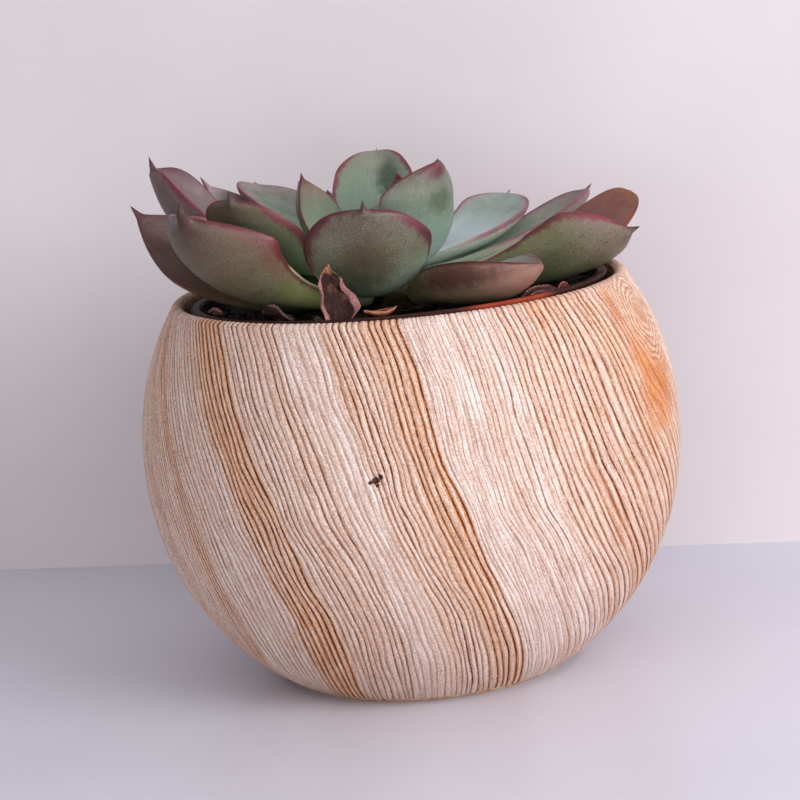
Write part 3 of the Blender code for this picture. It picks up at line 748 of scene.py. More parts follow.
# What each leaf shows.  under and upper are colours from base to tip; edge is the
# margin's colour and width (share of the half width, under and upper); tip is the
# colour of the point and where it starts; speck the strength of the dark dots on the
# underside and on the face; flush spreads the edge's colour inwards; dust is the
# pale bloom.
COMMON = dict(
    under=((104, 116, 88), (112, 120, 94), (100, 100, 80), (96, 76, 68)),
    upper=((150, 172, 156), (140, 164, 146), (120, 146, 124), (112, 116, 100)),
    edge=((120, 42, 58), 0.07, 0.10),
    sides=(1.0, 1.0),
    tip=((62, 26, 34), 0.9),
    speck=(0.45, 0.2),
    flush=(0.2, 0.2),
    dust=(0.08, 0.2),
    rough=0.5,
    ink=1.0,
    coat=0.0,
    patches=(),
)
LOOKS = {
    "leaf_outer_01": dict(
        under=((104, 98, 78), (110, 80, 72), (112, 72, 66), (126, 72, 56)),
        upper=((110, 92, 82), (102, 68, 64), (98, 60, 60), (116, 68, 54)),
        edge=((124, 60, 48), 0.05, 0.06), tip=((150, 90, 58), 0.95), flush=(0.3, 0.3), speck=(0.3, 0.4), dust=(0.03, 0.05), ink=0.0,
    ),
    "leaf_outer_02": dict(
        under=((116, 130, 102), (128, 140, 114), (128, 128, 110), (112, 86, 88)),
        upper=((142, 164, 142), (134, 158, 134), (128, 144, 124), (126, 98, 102)),
        edge=((136, 66, 88), 0.07, 0.12), sides=(0.7, 1.0), tip=((76, 46, 60), 0.93), flush=(0.2, 0.25), dust=(0.05, 0.1),
    ),
    "leaf_outer_03": dict(
        under=((132, 142, 128), (146, 156, 142), (150, 152, 144), (138, 104, 112)),
        upper=((176, 192, 198), (174, 190, 196), (124, 140, 130), (118, 126, 118)),
        edge=((148, 76, 102), 0.07, 0.08), tip=((112, 74, 88), 0.95), speck=(0.1, 0.12), dust=(0.2, 0.3),
    ),
    "leaf_outer_06": dict(
        upper=((128, 152, 148), (88, 110, 94), (78, 96, 76), (124, 110, 104)),
        edge=((140, 84, 98), 0.07, 0.09), tip=((110, 52, 70), 0.95), dust=(0.1, 0.15),
    ),
    "leaf_outer_07": dict(
        under=((124, 128, 110), (140, 134, 124), (146, 124, 122), (138, 100, 108)),
        upper=((140, 150, 140), (144, 146, 138), (144, 136, 132), (140, 112, 118)),
        edge=((136, 76, 96), 0.06, 0.06), tip=((104, 52, 70), 0.95), speck=(0.15, 0.1), flush=(0.2, 0.25), dust=(0.1, 0.2),
    ),
    "leaf_outer_08": dict(
        under=((90, 108, 82), (98, 108, 88), (96, 90, 80), (92, 66, 68)),
        upper=((112, 132, 116), (112, 120, 106), (112, 100, 98), (104, 72, 82)),
        edge=((104, 34, 60), 0.08, 0.08), sides=(0.3, 1.2), tip=((62, 30, 42), 0.95), speck=(0.3, 0.1), flush=(0.18, 0.2), dust=(0.06, 0.06),
    ),
    "leaf_outer_09": dict(
        under=((80, 92, 54), (96, 98, 64), (82, 70, 50), (70, 42, 38)),
        upper=((84, 88, 58), (88, 80, 58), (78, 54, 46), (70, 34, 36)),
        edge=((96, 38, 44), 0.07, 0.07), sides=(1.2, 0.12), tip=((64, 22, 30), 0.9), speck=(0.5, 0.4), flush=(0.2, 0.25), dust=(0.02, 0.03), rough=0.46,
        patches=(((0.62, 0.35), (0.2, 0.4), (52, 50, 34), 0.5, -1),),
    ),
    "leaf_outer_10": dict(
        under=((132, 142, 110), (132, 136, 104), (104, 94, 70), (76, 52, 42)),
        upper=((140, 158, 136), (130, 146, 118), (118, 110, 92), (96, 52, 56)),
        edge=((108, 34, 44), 0.09, 0.08), sides=(0.15, 1.15), tip=((58, 24, 28), 0.9), speck=(0.9, 0.25), flush=(0.12, 0.3), dust=(0.04, 0.1),
        rough=0.44,
        patches=(
            ((0.30, 0.72), (0.24, 0.36), (136, 140, 70), 0.6, -1),
            ((0.66, 0.88), (0.30, 0.22), (104, 44, 46), 0.4, -1),
            ((0.42, 0.0), (0.2, 0.5), (140, 130, 100), 0.35, -1),
        ),
    ),
    "leaf_outer_11": dict(
        under=((140, 136, 98), (172, 150, 116), (158, 130, 106), (152, 108, 94)),
        upper=((144, 154, 138), (152, 158, 146), (152, 152, 142), (136, 104, 102)),
        edge=((96, 38, 42), 0.05, 0.05), tip=((122, 66, 66), 0.96), speck=(0.35, 0.15), flush=(0.06, 0.08), dust=(0.05, 0.1),
        rough=0.46, ink=0.4,
        patches=(((0.58, -0.80), (0.46, 0.34), (84, 46, 42), 0.85, -1), ((0.6, 0.55), (0.34, 0.5), (170, 146, 112), 0.45, -1)),
    ),
    "leaf_outer_12": dict(
        under=((122, 138, 106), (110, 118, 82), (104, 104, 76), (110, 90, 76)),
        upper=((140, 160, 136), (128, 148, 122), (114, 124, 102), (112, 70, 72)),
        edge=((116, 38, 56), 0.09, 0.10), sides=(1.4, 0.1), tip=((66, 28, 38), 0.94), speck=(0.8, 0.3), flush=(0.18, 0.2), dust=(0.05, 0.1),
        patches=(((0.52, -0.3), (0.22, 0.4), (70, 72, 46), 0.5, -1), ((0.6, 0.7), (0.4, 0.4), (134, 118, 96), 0.5, -1)),
    ),
    "leaf_middle_03": dict(
        under=((140, 168, 126), (130, 158, 114), (110, 126, 92), (92, 80, 64)),
        upper=((128, 156, 128), (112, 140, 108), (104, 116, 90), (98, 48, 56)),
        edge=((116, 40, 54), 0.11, 0.10), sides=(0.9, 1.2), tip=((58, 22, 32), 0.93), speck=(0.5, 0.2), flush=(0.15, 0.2), dust=(0.06, 0.1),
    ),
    "leaf_middle_04": dict(
        under=((152, 174, 152), (148, 168, 146), (112, 114, 92), (84, 68, 54)),
        upper=((150, 172, 152), (140, 164, 142), (130, 148, 124), (120, 90, 86)),
        edge=((92, 14, 42), 0.15, 0.1), tip=((64, 18, 34), 0.93), speck=(1.0, 0.2), flush=(0.12, 0.2), dust=(0.1, 0.2),
        rough=0.46,
        patches=(((0.66, -0.05), (0.26, 0.55), (66, 54, 36), 0.7, -1), ((0.35, 0.5), (0.25, 0.5), (160, 176, 160), 0.4, -1)),
    ),
    "leaf_inner_01": dict(
        under=((120, 146, 128), (114, 138, 118), (108, 126, 104), (108, 76, 76)),
        upper=((138, 164, 156), (116, 138, 124), (112, 130, 112), (118, 112, 100)),
        edge=((132, 48, 70), 0.08, 0.12), tip=((112, 32, 54), 0.97), speck=(0.15, 0.05), flush=(0.2, 0.1), dust=(0.1, 0.12),
        rough=0.24, coat=0.6,
        # the second, pale patch near the tip is a painted highlight standing for the window's reflection
        patches=(((0.66, -0.40), (0.26, 0.42), (40, 58, 42), 0.85, 1), ((0.86, 0.1), (0.12, 0.6), (132, 140, 124), 0.5, 1)),
    ),
    "leaf_inner_02": dict(
        under=((124, 146, 122), (114, 134, 108), (104, 116, 90), (96, 72, 62)),
        upper=((132, 154, 128), (116, 138, 110), (106, 122, 94), (104, 72, 64)),
        edge=((104, 44, 50), 0.04, 0.05), tip=((84, 28, 36), 0.9), speck=(0.25, 0.1), flush=(0.12, 0.12), dust=(0.08, 0.1), rough=0.4,
    ),
    "leaf_inner_03": dict(
        under=((130, 158, 150), (118, 142, 130), (98, 114, 96), (92, 78, 70)),
        upper=((140, 162, 148), (122, 146, 126), (106, 126, 102), (112, 66, 70)),
        edge=((112, 56, 66), 0.04, 0.06), tip=((96, 30, 46), 0.9), speck=(0.4, 0.1), flush=(0.1, 0.1), dust=(0.12, 0.2),
        patches=(((0.68, 0.0), (0.13, 0.3), (64, 80, 48), 0.7, -1), ((0.92, 0.0), (0.09, 1.2), (84, 26, 42), 0.75, -1)),
    ),
    "leaf_bud_01": dict(
        under=((124, 90, 76), (128, 60, 64), (132, 44, 56), (110, 30, 44)),
        upper=((130, 96, 80), (130, 64, 66), (130, 46, 56), (110, 30, 44)),
        edge=((128, 36, 50), 0.1, 0.1), tip=((96, 24, 38), 0.85), speck=(0.1, 0.1), flush=(0.6, 0.6),
    ),
    "leaf_bud_03": dict(
        under=((120, 146, 118), (116, 132, 104), (112, 88, 76), (110, 40, 52)),
        upper=((124, 148, 120), (118, 134, 106), (112, 90, 78), (110, 40, 52)),
        edge=((128, 40, 58), 0.1, 0.1), tip=((96, 26, 40), 0.82), flush=(0.5, 0.4),
    ),
}
PALE_RIM = {
    # a thin line drawn on one margin: side, from s, to s, colour
    "leaf_outer_09": ((-1, 0.5, 0.9, (150, 84, 86)),),
    # on leaf_outer_10 the pinkish-grey line on the side -1 margin is a painted sheen
    "leaf_outer_10": ((1, 0.10, 0.50, (208, 200, 156)), (-1, 0.3, 0.95, (168, 140, 132))),
    "leaf_outer_12": ((-1, 0.05, 0.5, (190, 172, 168)),),
    "leaf_outer_11": ((-1, 0.20, 0.97, (74, 26, 30)), (1, 0.5, 0.97, (150, 96, 88))),
    "leaf_inner_03": ((-1, 0.2, 0.7, (186, 160, 150)), (1, 0.3, 0.8, (176, 178, 164))),
    "leaf_outer_08": ((1, 0.3, 0.9, (130, 60, 86)),),
    "leaf_middle_04": ((-1, 0.3, 0.6, (186, 184, 176)), (1, 0.3, 0.6, (178, 172, 160))),
}


def leaf_material(name, look, rims):
    n = Nodes(name + "_flesh", roughness=look["rough"], specular=0.42)
    at = n.object_mm()
    blade = n.attr("blade").outputs["Vector"]
    s, t, up = n.split(blade)
    flesh = n.attr("flesh").outputs["Vector"]  # along and across in mm
    edge_t = n.math("ABSOLUTE", t)
    face = n.span(up, -0.12, 0.12)

    cloud = n.noise(at, 0.16, 3.0, 0.6)
    mottle = n.noise(at, 0.55, 3.0, 0.65)
    grainy = n.noise(at, 3.2, 2.0, 0.65)
    streak = n.noise(n.vmath("MULTIPLY", flesh, (0.10, 1.0, 1.0)), 1.6, 2.0, 0.6)

    along = n.add(s, n.mul(n.sub(cloud, 0.5), 0.28))
    along = n.add(along, n.mul(n.sub(streak, 0.5), 0.10))
    where = (0.06, 0.38, 0.66, 0.92)
    under = n.ramp(along, [(w, lin(*c)) for w, c in zip(where, look["under"])])
    upper = n.ramp(along, [(w, lin(*c)) for w, c in zip(where, look["upper"])])
    colour = n.mix(face, under, upper)

    # pale bloom, rubbed off in places
    dust = n.span(face, 0.0, 1.0, look["dust"][0], look["dust"][1], smooth=False)
    dust = n.mul(dust, n.span(n.add(cloud, n.mul(n.sub(mottle, 0.5), 0.3)), 0.34, 0.64))
    colour = n.mix(dust, colour, lin(178, 194, 190))

    # broad patches by place on the blade
    for (s0, t0), (ds, dt), tint, strength, side in look["patches"]:
        a = n.math("DIVIDE", n.sub(s, s0), ds)
        b = n.math("DIVIDE", n.sub(t, t0), dt)
        far = n.math("SQRT", n.add(n.mul(a, a), n.mul(b, b)))
        far = n.add(far, n.mul(n.sub(mottle, 0.5), 0.9))
        on = n.span(far, 1.1, 0.3, 0.0, strength)
        on = n.mul(on, face if side > 0 else n.sub(1.0, face))
        colour = n.mix(on, colour, lin(*tint))

    # streaks along the blade
    colour = n.mix(n.span(streak, 0.44, 0.3, 0.0, 0.16), colour, lin(70, 62, 48))
    colour = n.mix(n.span(streak, 0.58, 0.72, 0.0, 0.05), colour, lin(190, 196, 176))

    # burgundy spreading from the margin and the tip
    flush = n.span(face, 0.0, 1.0, look["flush"][0], look["flush"][1], smooth=False)
    reach = n.add(edge_t, n.mul(n.sub(mottle, 0.5), 0.45))
    reach = n.mul(n.span(reach, 0.55, 1.02), n.span(s, 0.22, 0.7))
    colour = n.mix(n.mul(reach, flush), colour, lin(*look["edge"][0]))

    # dark dots, thicker towards the tip and the middle of the underside
    dots = n.span(n.cells(n.vmath("ADD", at, n.vmath("SCALE", n.join(grainy, mottle, streak), scale=0.3)), 1.75), 0.34, 0.14)
    small = n.span(grainy, 0.50, 0.38)
    spread = n.mul(n.span(s, 0.28, 0.58), n.span(mottle, 0.34, 0.60, 0.15, 1.0))
    spread = n.mul(spread, n.span(edge_t, 0.95, 0.45, 0.25, 1.0))
    amount = n.span(face, 0.0, 1.0, look["speck"][0], look["speck"][1], smooth=False)
    dots = n.math("MULTIPLY", n.math("MAXIMUM", n.mul(dots, 0.75), small), n.mul(spread, amount), clamp=True)
    colour = n.mix(n.mul(dots, 0.8), colour, lin(62, 40, 30))
    light = n.span(grainy, 0.60, 0.74, 0.0, 0.34)
    colour = n.mix(n.mul(light, n.span(s, 0.0, 0.9, 1.0, 0.5)), colour, lin(198, 200, 176))

    # the margin itself
    wide = n.span(face, 0.0, 1.0, look["edge"][1] * 0.75, look["edge"][2] * 0.75, smooth=False)
    wide = n.mul(wide, n.span(mottle, 0.3, 0.7, 0.7, 1.35))
    wide = n.mul(wide, n.span(s, 0.5, 0.9, 0.85, 1.6))
    wide = n.mul(wide, n.span(t, -0.2, 0.2, look["sides"][0], look["sides"][1]))
    inner = n.sub(1.0, wide)
    margin = n.span(n.math("DIVIDE", n.sub(edge_t, inner), wide), -0.6, 0.6)
    margin = n.mul(margin, n.span(s, 0.10, 0.42))
    edge_colour = n.mix(n.span(cloud, 0.4, 0.65), lin(*[int(c * 0.78) for c in look["edge"][0]]), lin(*look["edge"][0]))
    colour = n.mix(n.mul(margin, 0.88), colour, edge_colour)
    for side, low, high, tint in rims:
        at_edge = n.span(t, 0.965 * side, 0.992 * side) if side > 0 else n.span(t, -0.965, -0.992)
        on = n.mul(at_edge, n.mul(n.span(s, low - 0.04, low + 0.04), n.span(s, high + 0.03, high - 0.03)))
        colour = n.mix(n.mul(on, 0.85), colour, lin(*tint))

    # the point
    start = look["tip"][1]
    point = n.span(n.add(s, n.mul(n.sub(mottle, 0.5), 0.10)), start - 0.03, start + 0.06)
    colour = n.mix(n.mul(point, 0.8), colour, lin(*look["tip"][0]))
    colour = n.mix(n.span(s, 0.965, 0.992, 0.0, look["ink"]), colour, lin(44, 22, 26))

    n.set("Base Color", colour)
    base = look["rough"]
    n.set("Roughness", n.span(mottle, 0.3, 0.7, base + 0.10, base - 0.08))
    height = n.add(n.mul(streak, 0.5), n.mul(grainy, 0.22))
    height = n.add(height, n.mul(mottle, 0.7))
    n.set("Normal", n.bump(height, 0.00022, 0.55))
    n.shader.inputs["Coat Weight"].default_value = look["coat"]
    n.shader.inputs["Coat Roughness"].default_value = 0.16
    n.shader.inputs["Subsurface Weight"].default_value = 0.06
    n.shader.inputs["Subsurface Radius"].default_value = (0.0016, 0.0022, 0.0010)
    n.shader.inputs["Subsurface Scale"].default_value = 0.6
    return n.mat


# how stout the point of some leaves is
HORNS = {
    "leaf_outer_01": 0.05,
    "leaf_outer_03": 0.25,
    "leaf_outer_08": 0.6,
    "leaf_outer_09": 0.62,
    "leaf_outer_10": 0.72,
    "leaf_outer_11": 0.3,
    "leaf_outer_12": 0.6,
    "leaf_middle_03": 0.62,
    "leaf_middle_04": 0.38,
    "leaf_inner_01": 0.16,
}
BLADE_ENDS = {
    "leaf_outer_01": 0.972,
    "leaf_outer_10": 0.935,
    "leaf_outer_11": 0.985,
    "leaf_inner_01": 0.96,
    "leaf_inner_03": 0.965,
    "leaf_outer_12": 0.95,
}


def add_leaf(name, row, index):
    p = dict(zip(LEAF_COLUMNS, row))
    p["horn"] = HORNS.get(name, 0.5)
    p["end"] = BLADE_ENDS.get(name, 0.945)
    small = name.startswith("leaf_bud")
    S, PSI, faces = blade_grid(40 if small else 76, 28 if small else 48)
    t, up = np.cos(PSI), np.sin(PSI)
    # a live margin is never dead straight
    wave = lattice(40 + index, 16, 4)
    nick = 1 + 0.016 * noise2(wave, S * 9 + np.where(t > 0, 0, 7), np.zeros_like(S)) * (S > 0.1) * np.clip((0.97 - S) * 12, 0, 1)
    verts = leaf_points(p, np.clip(S, 0, 1), PSI, nick)
    swell = lattice(80 + index, 24, 24)
    centre_dir = verts - verts.mean(0)
    ripple = noise2(swell, S * 7 + 20, t * 2.2 + 8 + (up > 0) * 5)
    lift = 0.13 * ripple * np.clip(1 - np.abs(t) ** 4, 0, 1) * np.clip(S * 8, 0, 1) * np.clip((0.95 - S) * 8, 0, 1)
    # raised or sunk along the face's own normal
    ds, dp = 1e-3, 1e-3
    a = leaf_points(p, np.clip(S + ds, 0, 1), PSI) - leaf_points(p, np.clip(S - ds, 0, 1), PSI)
    b = leaf_points(p, np.clip(S, 0.001, 0.999), PSI + dp) - leaf_points(p, np.clip(S, 0.001, 0.999), PSI - dp)
    normal = np.cross(a, b)
    normal /= np.maximum(np.linalg.norm(normal, axis=1, keepdims=True), 1e-12)
    middle = leaf_points(p, np.clip(S, 0.001, 0.999), PSI) * 0.5 + leaf_points(p, np.clip(S, 0.001, 0.999), -PSI) * 0.5
    sign = np.sign(np.sum(normal * (verts - middle), axis=1, keepdims=True))
    sign[sign == 0] = 1
    verts = verts + normal * sign * (lift * (0.4 if small else 1.0))[:, None]
    length = np.hypot(p["rt"] - p["rb"], p["zt"] - p["zb"])
    half = 0.5 * p["wid"]
    flesh = np.stack([S * length, t * half * blade_width(S, p["sm"], p["beak"]) ** 0.35, np.where(up > 0, 30.0, 0.0)], -1)
    look = dict(COMMON)
    look.update(LOOKS.get(name, {}))
    mat = leaf_material(name, look, PALE_RIM.get(name, ()))
    obj = make_mesh(
        name + "_fine",
        verts,
        facing_out(verts, faces),
        [mat],
        {"blade": np.stack([S, t, up], -1), "flesh": flesh},
    )
    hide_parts(name)
    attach(obj, "root")
    return obj


# ------------------------------------------------------------------ withered pieces
DRY_LOOKS = {
    # inside, outside, rolled rim, tip
    "dry_leaf_front": ((42, 14, 11), (84, 38, 32), (158, 106, 106), (180, 122, 84)),
    "dry_leaf_end": ((140, 72, 52), (156, 88, 62), (188, 128, 98), (200, 142, 104)),
    "dry_scrap_01": ((44, 26, 24), (62, 40, 38), (110, 84, 82), (150, 126, 124)),
    "dry_scrap_02": ((84, 46, 46), (110, 66, 66), (150, 104, 104), (150, 100, 100)),
    "dry_scrap_03": ((56, 24, 22), (70, 34, 30), (100, 54, 50), (92, 48, 44)),
    "dry_scrap_04": ((86, 34, 32), (112, 50, 46), (148, 76, 72), (140, 72, 68)),
}


def dry_material(name, look):
    n = Nodes(name + "_withered", roughness=0.7, specular=0.3)
    at = n.object_mm()
    blade = n.attr("blade").outputs["Vector"]
    s, t, up = n.split(blade)
    flesh = n.attr("flesh").outputs["Vector"]
    cloud = n.noise(at, 0.35, 3.0, 0.6)
    vein = n.noise(n.vmath("MULTIPLY", flesh, (0.25, 1.0, 1.0)), 2.6, 3.0, 0.65)
    grainy = n.noise(at, 2.4, 3.0, 0.7)
    inside, outside, rim, tip = (lin(*c) for c in look)
    colour = n.mix(n.span(up, -0.1, 0.1), outside, inside)
    colour = n.mix(n.span(vein, 0.52, 0.34, 0.0, 0.75), colour, lin(46, 18, 18))
    colour = n.mix(n.span(cloud, 0.5, 0.72, 0.0, 0.2), colour, tip)
    edge = n.span(n.add(n.math("ABSOLUTE", t), n.mul(n.sub(cloud, 0.5), 0.3)), 0.66, 0.84)
    colour = n.mix(n.mul(edge, 0.9), colour, rim)
    colour = n.mix(n.mul(edge, n.span(grainy, 0.5, 0.66, 0.0, 0.5)), colour, lin(206, 168, 164))
    colour = n.mix(n.span(n.add(s, n.mul(n.sub(cloud, 0.5), 0.2)), 0.82, 0.95, 0.0, 0.9), colour, tip)
    colour = n.mix(n.span(grainy, 0.42, 0.28, 0.0, 0.5), colour, lin(40, 16, 16))
    n.set("Base Color", colour)
    n.set("Roughness", n.span(grainy, 0.3, 0.7, 0.8, 0.55))
    height = n.add(n.mul(vein, 1.0), n.mul(grainy, 0.4))
    n.set("Normal", n.bump(height, 0.0005, 0.8))
    return n.mat


def add_dry(name, row, index):
    p = dict(zip(DRY_COLUMNS, row))
    S, PSI, faces = blade_grid(56, 44)
    t, up = np.cos(PSI), np.sin(PSI)
    rough = lattice(200 + index, 20, 6)
    nick = 1 + 0.10 * noise2(rough, S * 5 + np.where(t > 0, 0, 9), np.zeros_like(S)) + 0.03 * noise2(rough, S * 13 + 3, np.ones_like(S))
    verts = leaf_points(p, S, PSI, nick)
    fold = lattice(230 + index, 30, 30)
    size = min(1.0, p["wid"] / 8.8)
    # crumpled as one sheet, so both faces move together
    x = t * 2.6 * max(size, 0.5) + 9
    crease = noise2(fold, S * 5 + 11, x) + 0.35 * noise2(fold, S * 11 + 2, x * 2.1) + 0.1 * noise2(fold, S * 21, x * 3.3)
    other = noise2(fold, S * 7 + 4, x + 13)
    push = np.stack([0.55 * crease, 0.45 * other, 0.4 * noise2(fold, S * 6 + 15, x + 5)], -1) * size
    hold = np.clip(S * 6, 0, 1)[:, None]
    verts = verts + push * hold
    length = max(np.hypot(p["rt"] - p["rb"], p["zt"] - p["zb"]), 3.0)
    flesh = np.stack([S * length, t * 0.5 * p["wid"], np.where(up > 0, 20.0, 0.0)], -1)
    obj = make_mesh(
        name + "_fine",
        verts,
        facing_out(verts, faces),
        [dry_material(name, DRY_LOOKS[name])],
        {"blade": np.stack([S, t, up], -1), "flesh": flesh},
    )
    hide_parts(name)
    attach(obj, "root")
    return obj


# ------------------------------------------------------------------ soil, nursery pot, stem
SEAT_TILT, SEAT_UP_AZ, NURSERY_RIM_Z = 1.3, 300.0, 78.85


def seat_matrix():
    a, t = math.radians(SEAT_UP_AZ), math.radians(SEAT_TILT)
    turn = Matrix.Rotation(-t * math.cos(a), 4, "Y") @ Matrix.Rotation(t * math.sin(a), 4, "X")
    return Matrix.Translation((0, 0, NURSERY_RIM_Z)) @ turn


def seated(points):
    """Points given with heights above the bench, leant with the nursery pot."""
    m = np.array(seat_matrix())
    p = np.asarray(points, float).copy()
    p[:, 2] -= NURSERY_RIM_Z
    return p @ m[:3, :3].T + m[:3, 3]


def soil_top(r):
    return np.interp(r, [0, 6.3, 16.0, 29.0, 39.4, 39.9], [74.5, 74.5, 75.0, 76.55, 76.65, 76.05])


def make_soil(mat):
    cols, rings = 200, 60
    angles = np.linspace(0, 2 * np.pi, cols, endpoint=False)
    radii = np.linspace(39.75, 5.2, rings)
    big, mid, tiny = lattice(300, 40, 40), lattice(301, 90, 90), lattice(302, 180, 180)
    rows = [np.stack([np.full(cols, 27.0) * np.cos(angles), np.full(cols, 27.0) * np.sin(angles), np.full(cols, 10.0)], -1)]
    rows.append(np.stack([38.6 * np.cos(angles), 38.6 * np.sin(angles), np.full(cols, 70.0)], -1))
    rows.append(np.stack([39.8 * np.cos(angles), 39.8 * np.sin(angles), np.full(cols, 73.5)], -1))
    for r in radii:
        x, y = r * np.cos(angles), r * np.sin(angles)
        z = soil_top(np.full(cols, r))
        z = z + 0.45 * noise2(big, x / 4.5 + 20, y / 4.5 + 20) + 0.35 * noise2(mid, x / 1.7 + 45, y / 1.7 + 45)
        z = z + 0.22 * noise2(tiny, x / 0.8 + 90, y / 0.8 + 90) - 0.35
        rows.append(np.stack([x, y, z], -1))
    rows.append(np.stack([3.6 * np.cos(angles), 3.6 * np.sin(angles), np.full(cols, 66.0)], -1))
    rows.append(np.stack([0.05 * np.cos(angles), 0.05 * np.sin(angles), np.full(cols, 64.0)], -1))
    verts = [np.concatenate(rows)]
    faces = ring_faces(len(rows), cols)
    total = len(verts[0])
    kind = [0] * len(faces)
    # crumbs of bark and grit lying in it
    random = np.random.RandomState(77)
    ball, ball_faces = small_ball()
    for i in range(620):
        r = 6.8 + 32.0 * math.sqrt(random.uniform(0, 1))
        a = random.uniform(0, 2 * np.pi)
        size = random.uniform(0.28, 0.8) if random.uniform() < 0.85 else random.uniform(0.8, 1.35)
        turn = Matrix.Rotation(random.uniform(0, 6.28), 3, "Z") @ Matrix.Rotation(random.uniform(0, 6.28), 3, "X")
        shape = ball * (1 + 0.28 * random.uniform(-1, 1, (len(ball), 1)))
        shape = shape * np.array([1.0, random.uniform(0.45, 1.0), random.uniform(0.35, 0.8)]) * size
        shape = shape @ np.array(turn).T
        z = float(soil_top(r)) - 0.1 + size * 0.25
        z = min(z, NURSERY_RIM_Z - 1.4)
        verts.append(shape + np.array([r * math.cos(a), r * math.sin(a), z]))
        faces += [tuple(total + k for k in f) for f in ball_faces]
        kind += [1 if random.uniform() < 0.62 else (2 if random.uniform() < 0.75 else 3)] * len(ball_faces)
        total += len(ball)
    obj = make_mesh("potting_soil_fine", seated(np.concatenate(verts)), faces, mat, None, kind)
    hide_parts("potting_soil")
    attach(obj, "root")


def small_ball():
    """A 42-point ball."""
    g = (1 + 5**0.5) / 2
    pts = [(-1, g, 0), (1, g, 0), (-1, -g, 0), (1, -g, 0), (0, -1, g), (0, 1, g), (0, -1, -g), (0, 1, -g), (g, 0, -1), (g, 0, 1), (-g, 0, -1), (-g, 0, 1)]
    tris = [
        (0, 11, 5), (0, 5, 1), (0, 1, 7), (0, 7, 10), (0, 10, 11), (1, 5, 9), (5, 11, 4), (11, 10, 2), (10, 7, 6), (7, 1, 8),
        (3, 9, 4), (3, 4, 2), (3, 2, 6), (3, 6, 8), (3, 8, 9), (4, 9, 5), (2, 4, 11), (6, 2, 10), (8, 6, 7), (9, 8, 1),
    ]
    pts = [np.array(p, float) for p in pts]
    halves, made = {}, []
    for tri in tris:
        mids = []
        for i in range(3):
            key = tuple(sorted((tri[i], tri[(i + 1) % 3])))
            if key not in halves:
                halves[key] = len(pts)
                pts.append((pts[key[0]] + pts[key[1]]) / 2)
            mids.append(halves[key])
        a, b, c = tri
        d, e, f = mids
        made += [(a, d, f), (b, e, d), (c, f, e), (d, e, f)]
    pts = np.array(pts)
    return pts / np.linalg.norm(pts, axis=1, keepdims=True), made


def soil_materials():
    made = []
    for name, low, mid, high in (
        ("soil_peat", (8, 6, 5), (16, 12, 10), (30, 22, 17)),
        ("soil_crumb", (10, 8, 6), (21, 15, 12), (38, 28, 21)),
        ("soil_bark", (24, 13, 10), (44, 25, 18), (70, 44, 31)),
        ("soil_grit", (44, 39, 34), (72, 65, 58), (108, 100, 92)),
    ):
        n = Nodes(name, roughness=0.92, specular=0.2)
        at = n.object_mm()
        tone = n.noise(at, 1.4, 4.0, 0.7)
        colour = n.ramp(tone, [(0.3, lin(*low)), (0.5, lin(*mid)), (0.72, lin(*high))])
        n.set("Base Color", colour)
        n.set("Roughness", n.span(tone, 0.3, 0.7, 0.98, 0.82))
        n.set("Normal", n.bump(n.noise(at, 3.0, 4.0, 0.7), 0.0008, 0.9))
        made.append(n.mat)
    return made


def plastic_material():
    n = Nodes("nursery_pot_plastic", roughness=0.6, specular=0.25)
    at = n.object_mm()
    cloud = n.noise(at, 0.18, 3.0, 0.6)
    colour = n.ramp(cloud, [(0.3, lin(134, 46, 28)), (0.55, lin(158, 60, 36)), (0.75, lin(172, 78, 52))])
    dusty = n.noise(at, 1.8, 4.0, 0.7)
    colour = n.mix(n.span(dusty, 0.5, 0.7, 0.0, 0.5), colour, lin(112, 62, 46))
    # painted shade: the pot's upper wall and rim are painted dark for the shade under the leaves, all but a stretch at
    # the right front that keeps the plastic's colour where light reaches it
    x, y, z = n.split(at)
    rim_painted_shade = n.span(n.add(z, n.mul(n.sub(n.noise(at, 0.5, 3.0, 0.6), 0.5), 3.0)), 70.0, 75.0)
    far = n.vmath("LENGTH", n.vmath("SUBTRACT", at, (22.0, -37.0, 79.0)))
    lit_rim_stretch = n.span(n.add(far, n.mul(n.sub(cloud, 0.5), 6.0)), 12.0, 6.5)
    rim_painted_shade = n.mul(rim_painted_shade, n.sub(1.0, n.mul(lit_rim_stretch, 0.85)))
    colour = n.mix(n.mul(rim_painted_shade, 0.95), colour, n.mix(n.span(dusty, 0.42, 0.6), lin(40, 13, 11), lin(24, 12, 10)))
    n.set("Base Color", colour)
    n.set("Roughness", n.span(dusty, 0.3, 0.7, 0.55, 0.8))
    scuff = n.noise(n.vmath("MULTIPLY", at, (1.0, 1.0, 0.12)), 1.5, 3.0, 0.6)
    n.set("Normal", n.bump(n.add(scuff, n.mul(dusty, 0.4)), 0.00015, 0.6))
    return n.mat


def bark_material():
    n = Nodes("stem_bark_with_painted_shade", roughness=0.8, specular=0.25)
    at = n.object_mm()
    scar = n.noise(n.vmath("MULTIPLY", at, (0.35, 0.35, 1.0)), 1.6, 3.0, 0.6)
    cork = n.noise(at, 2.2, 4.0, 0.7)
    # bark tones set darker than the bark itself: painted shade of the rosette over the bark's own colour
    colour = n.ramp(scar, [(0.3, lin(36, 28, 18)), (0.5, lin(58, 50, 32)), (0.7, lin(84, 76, 52))])
    colour = n.mix(n.span(cork, 0.45, 0.3, 0.0, 0.7), colour, lin(34, 22, 16))
    n.set("Base Color", colour)
    n.set("Roughness", n.span(cork, 0.3, 0.7, 0.9, 0.65))
    n.set("Normal", n.bump(n.add(scar, n.mul(cork, 0.6)), 0.0006, 0.9))
    return n.mat


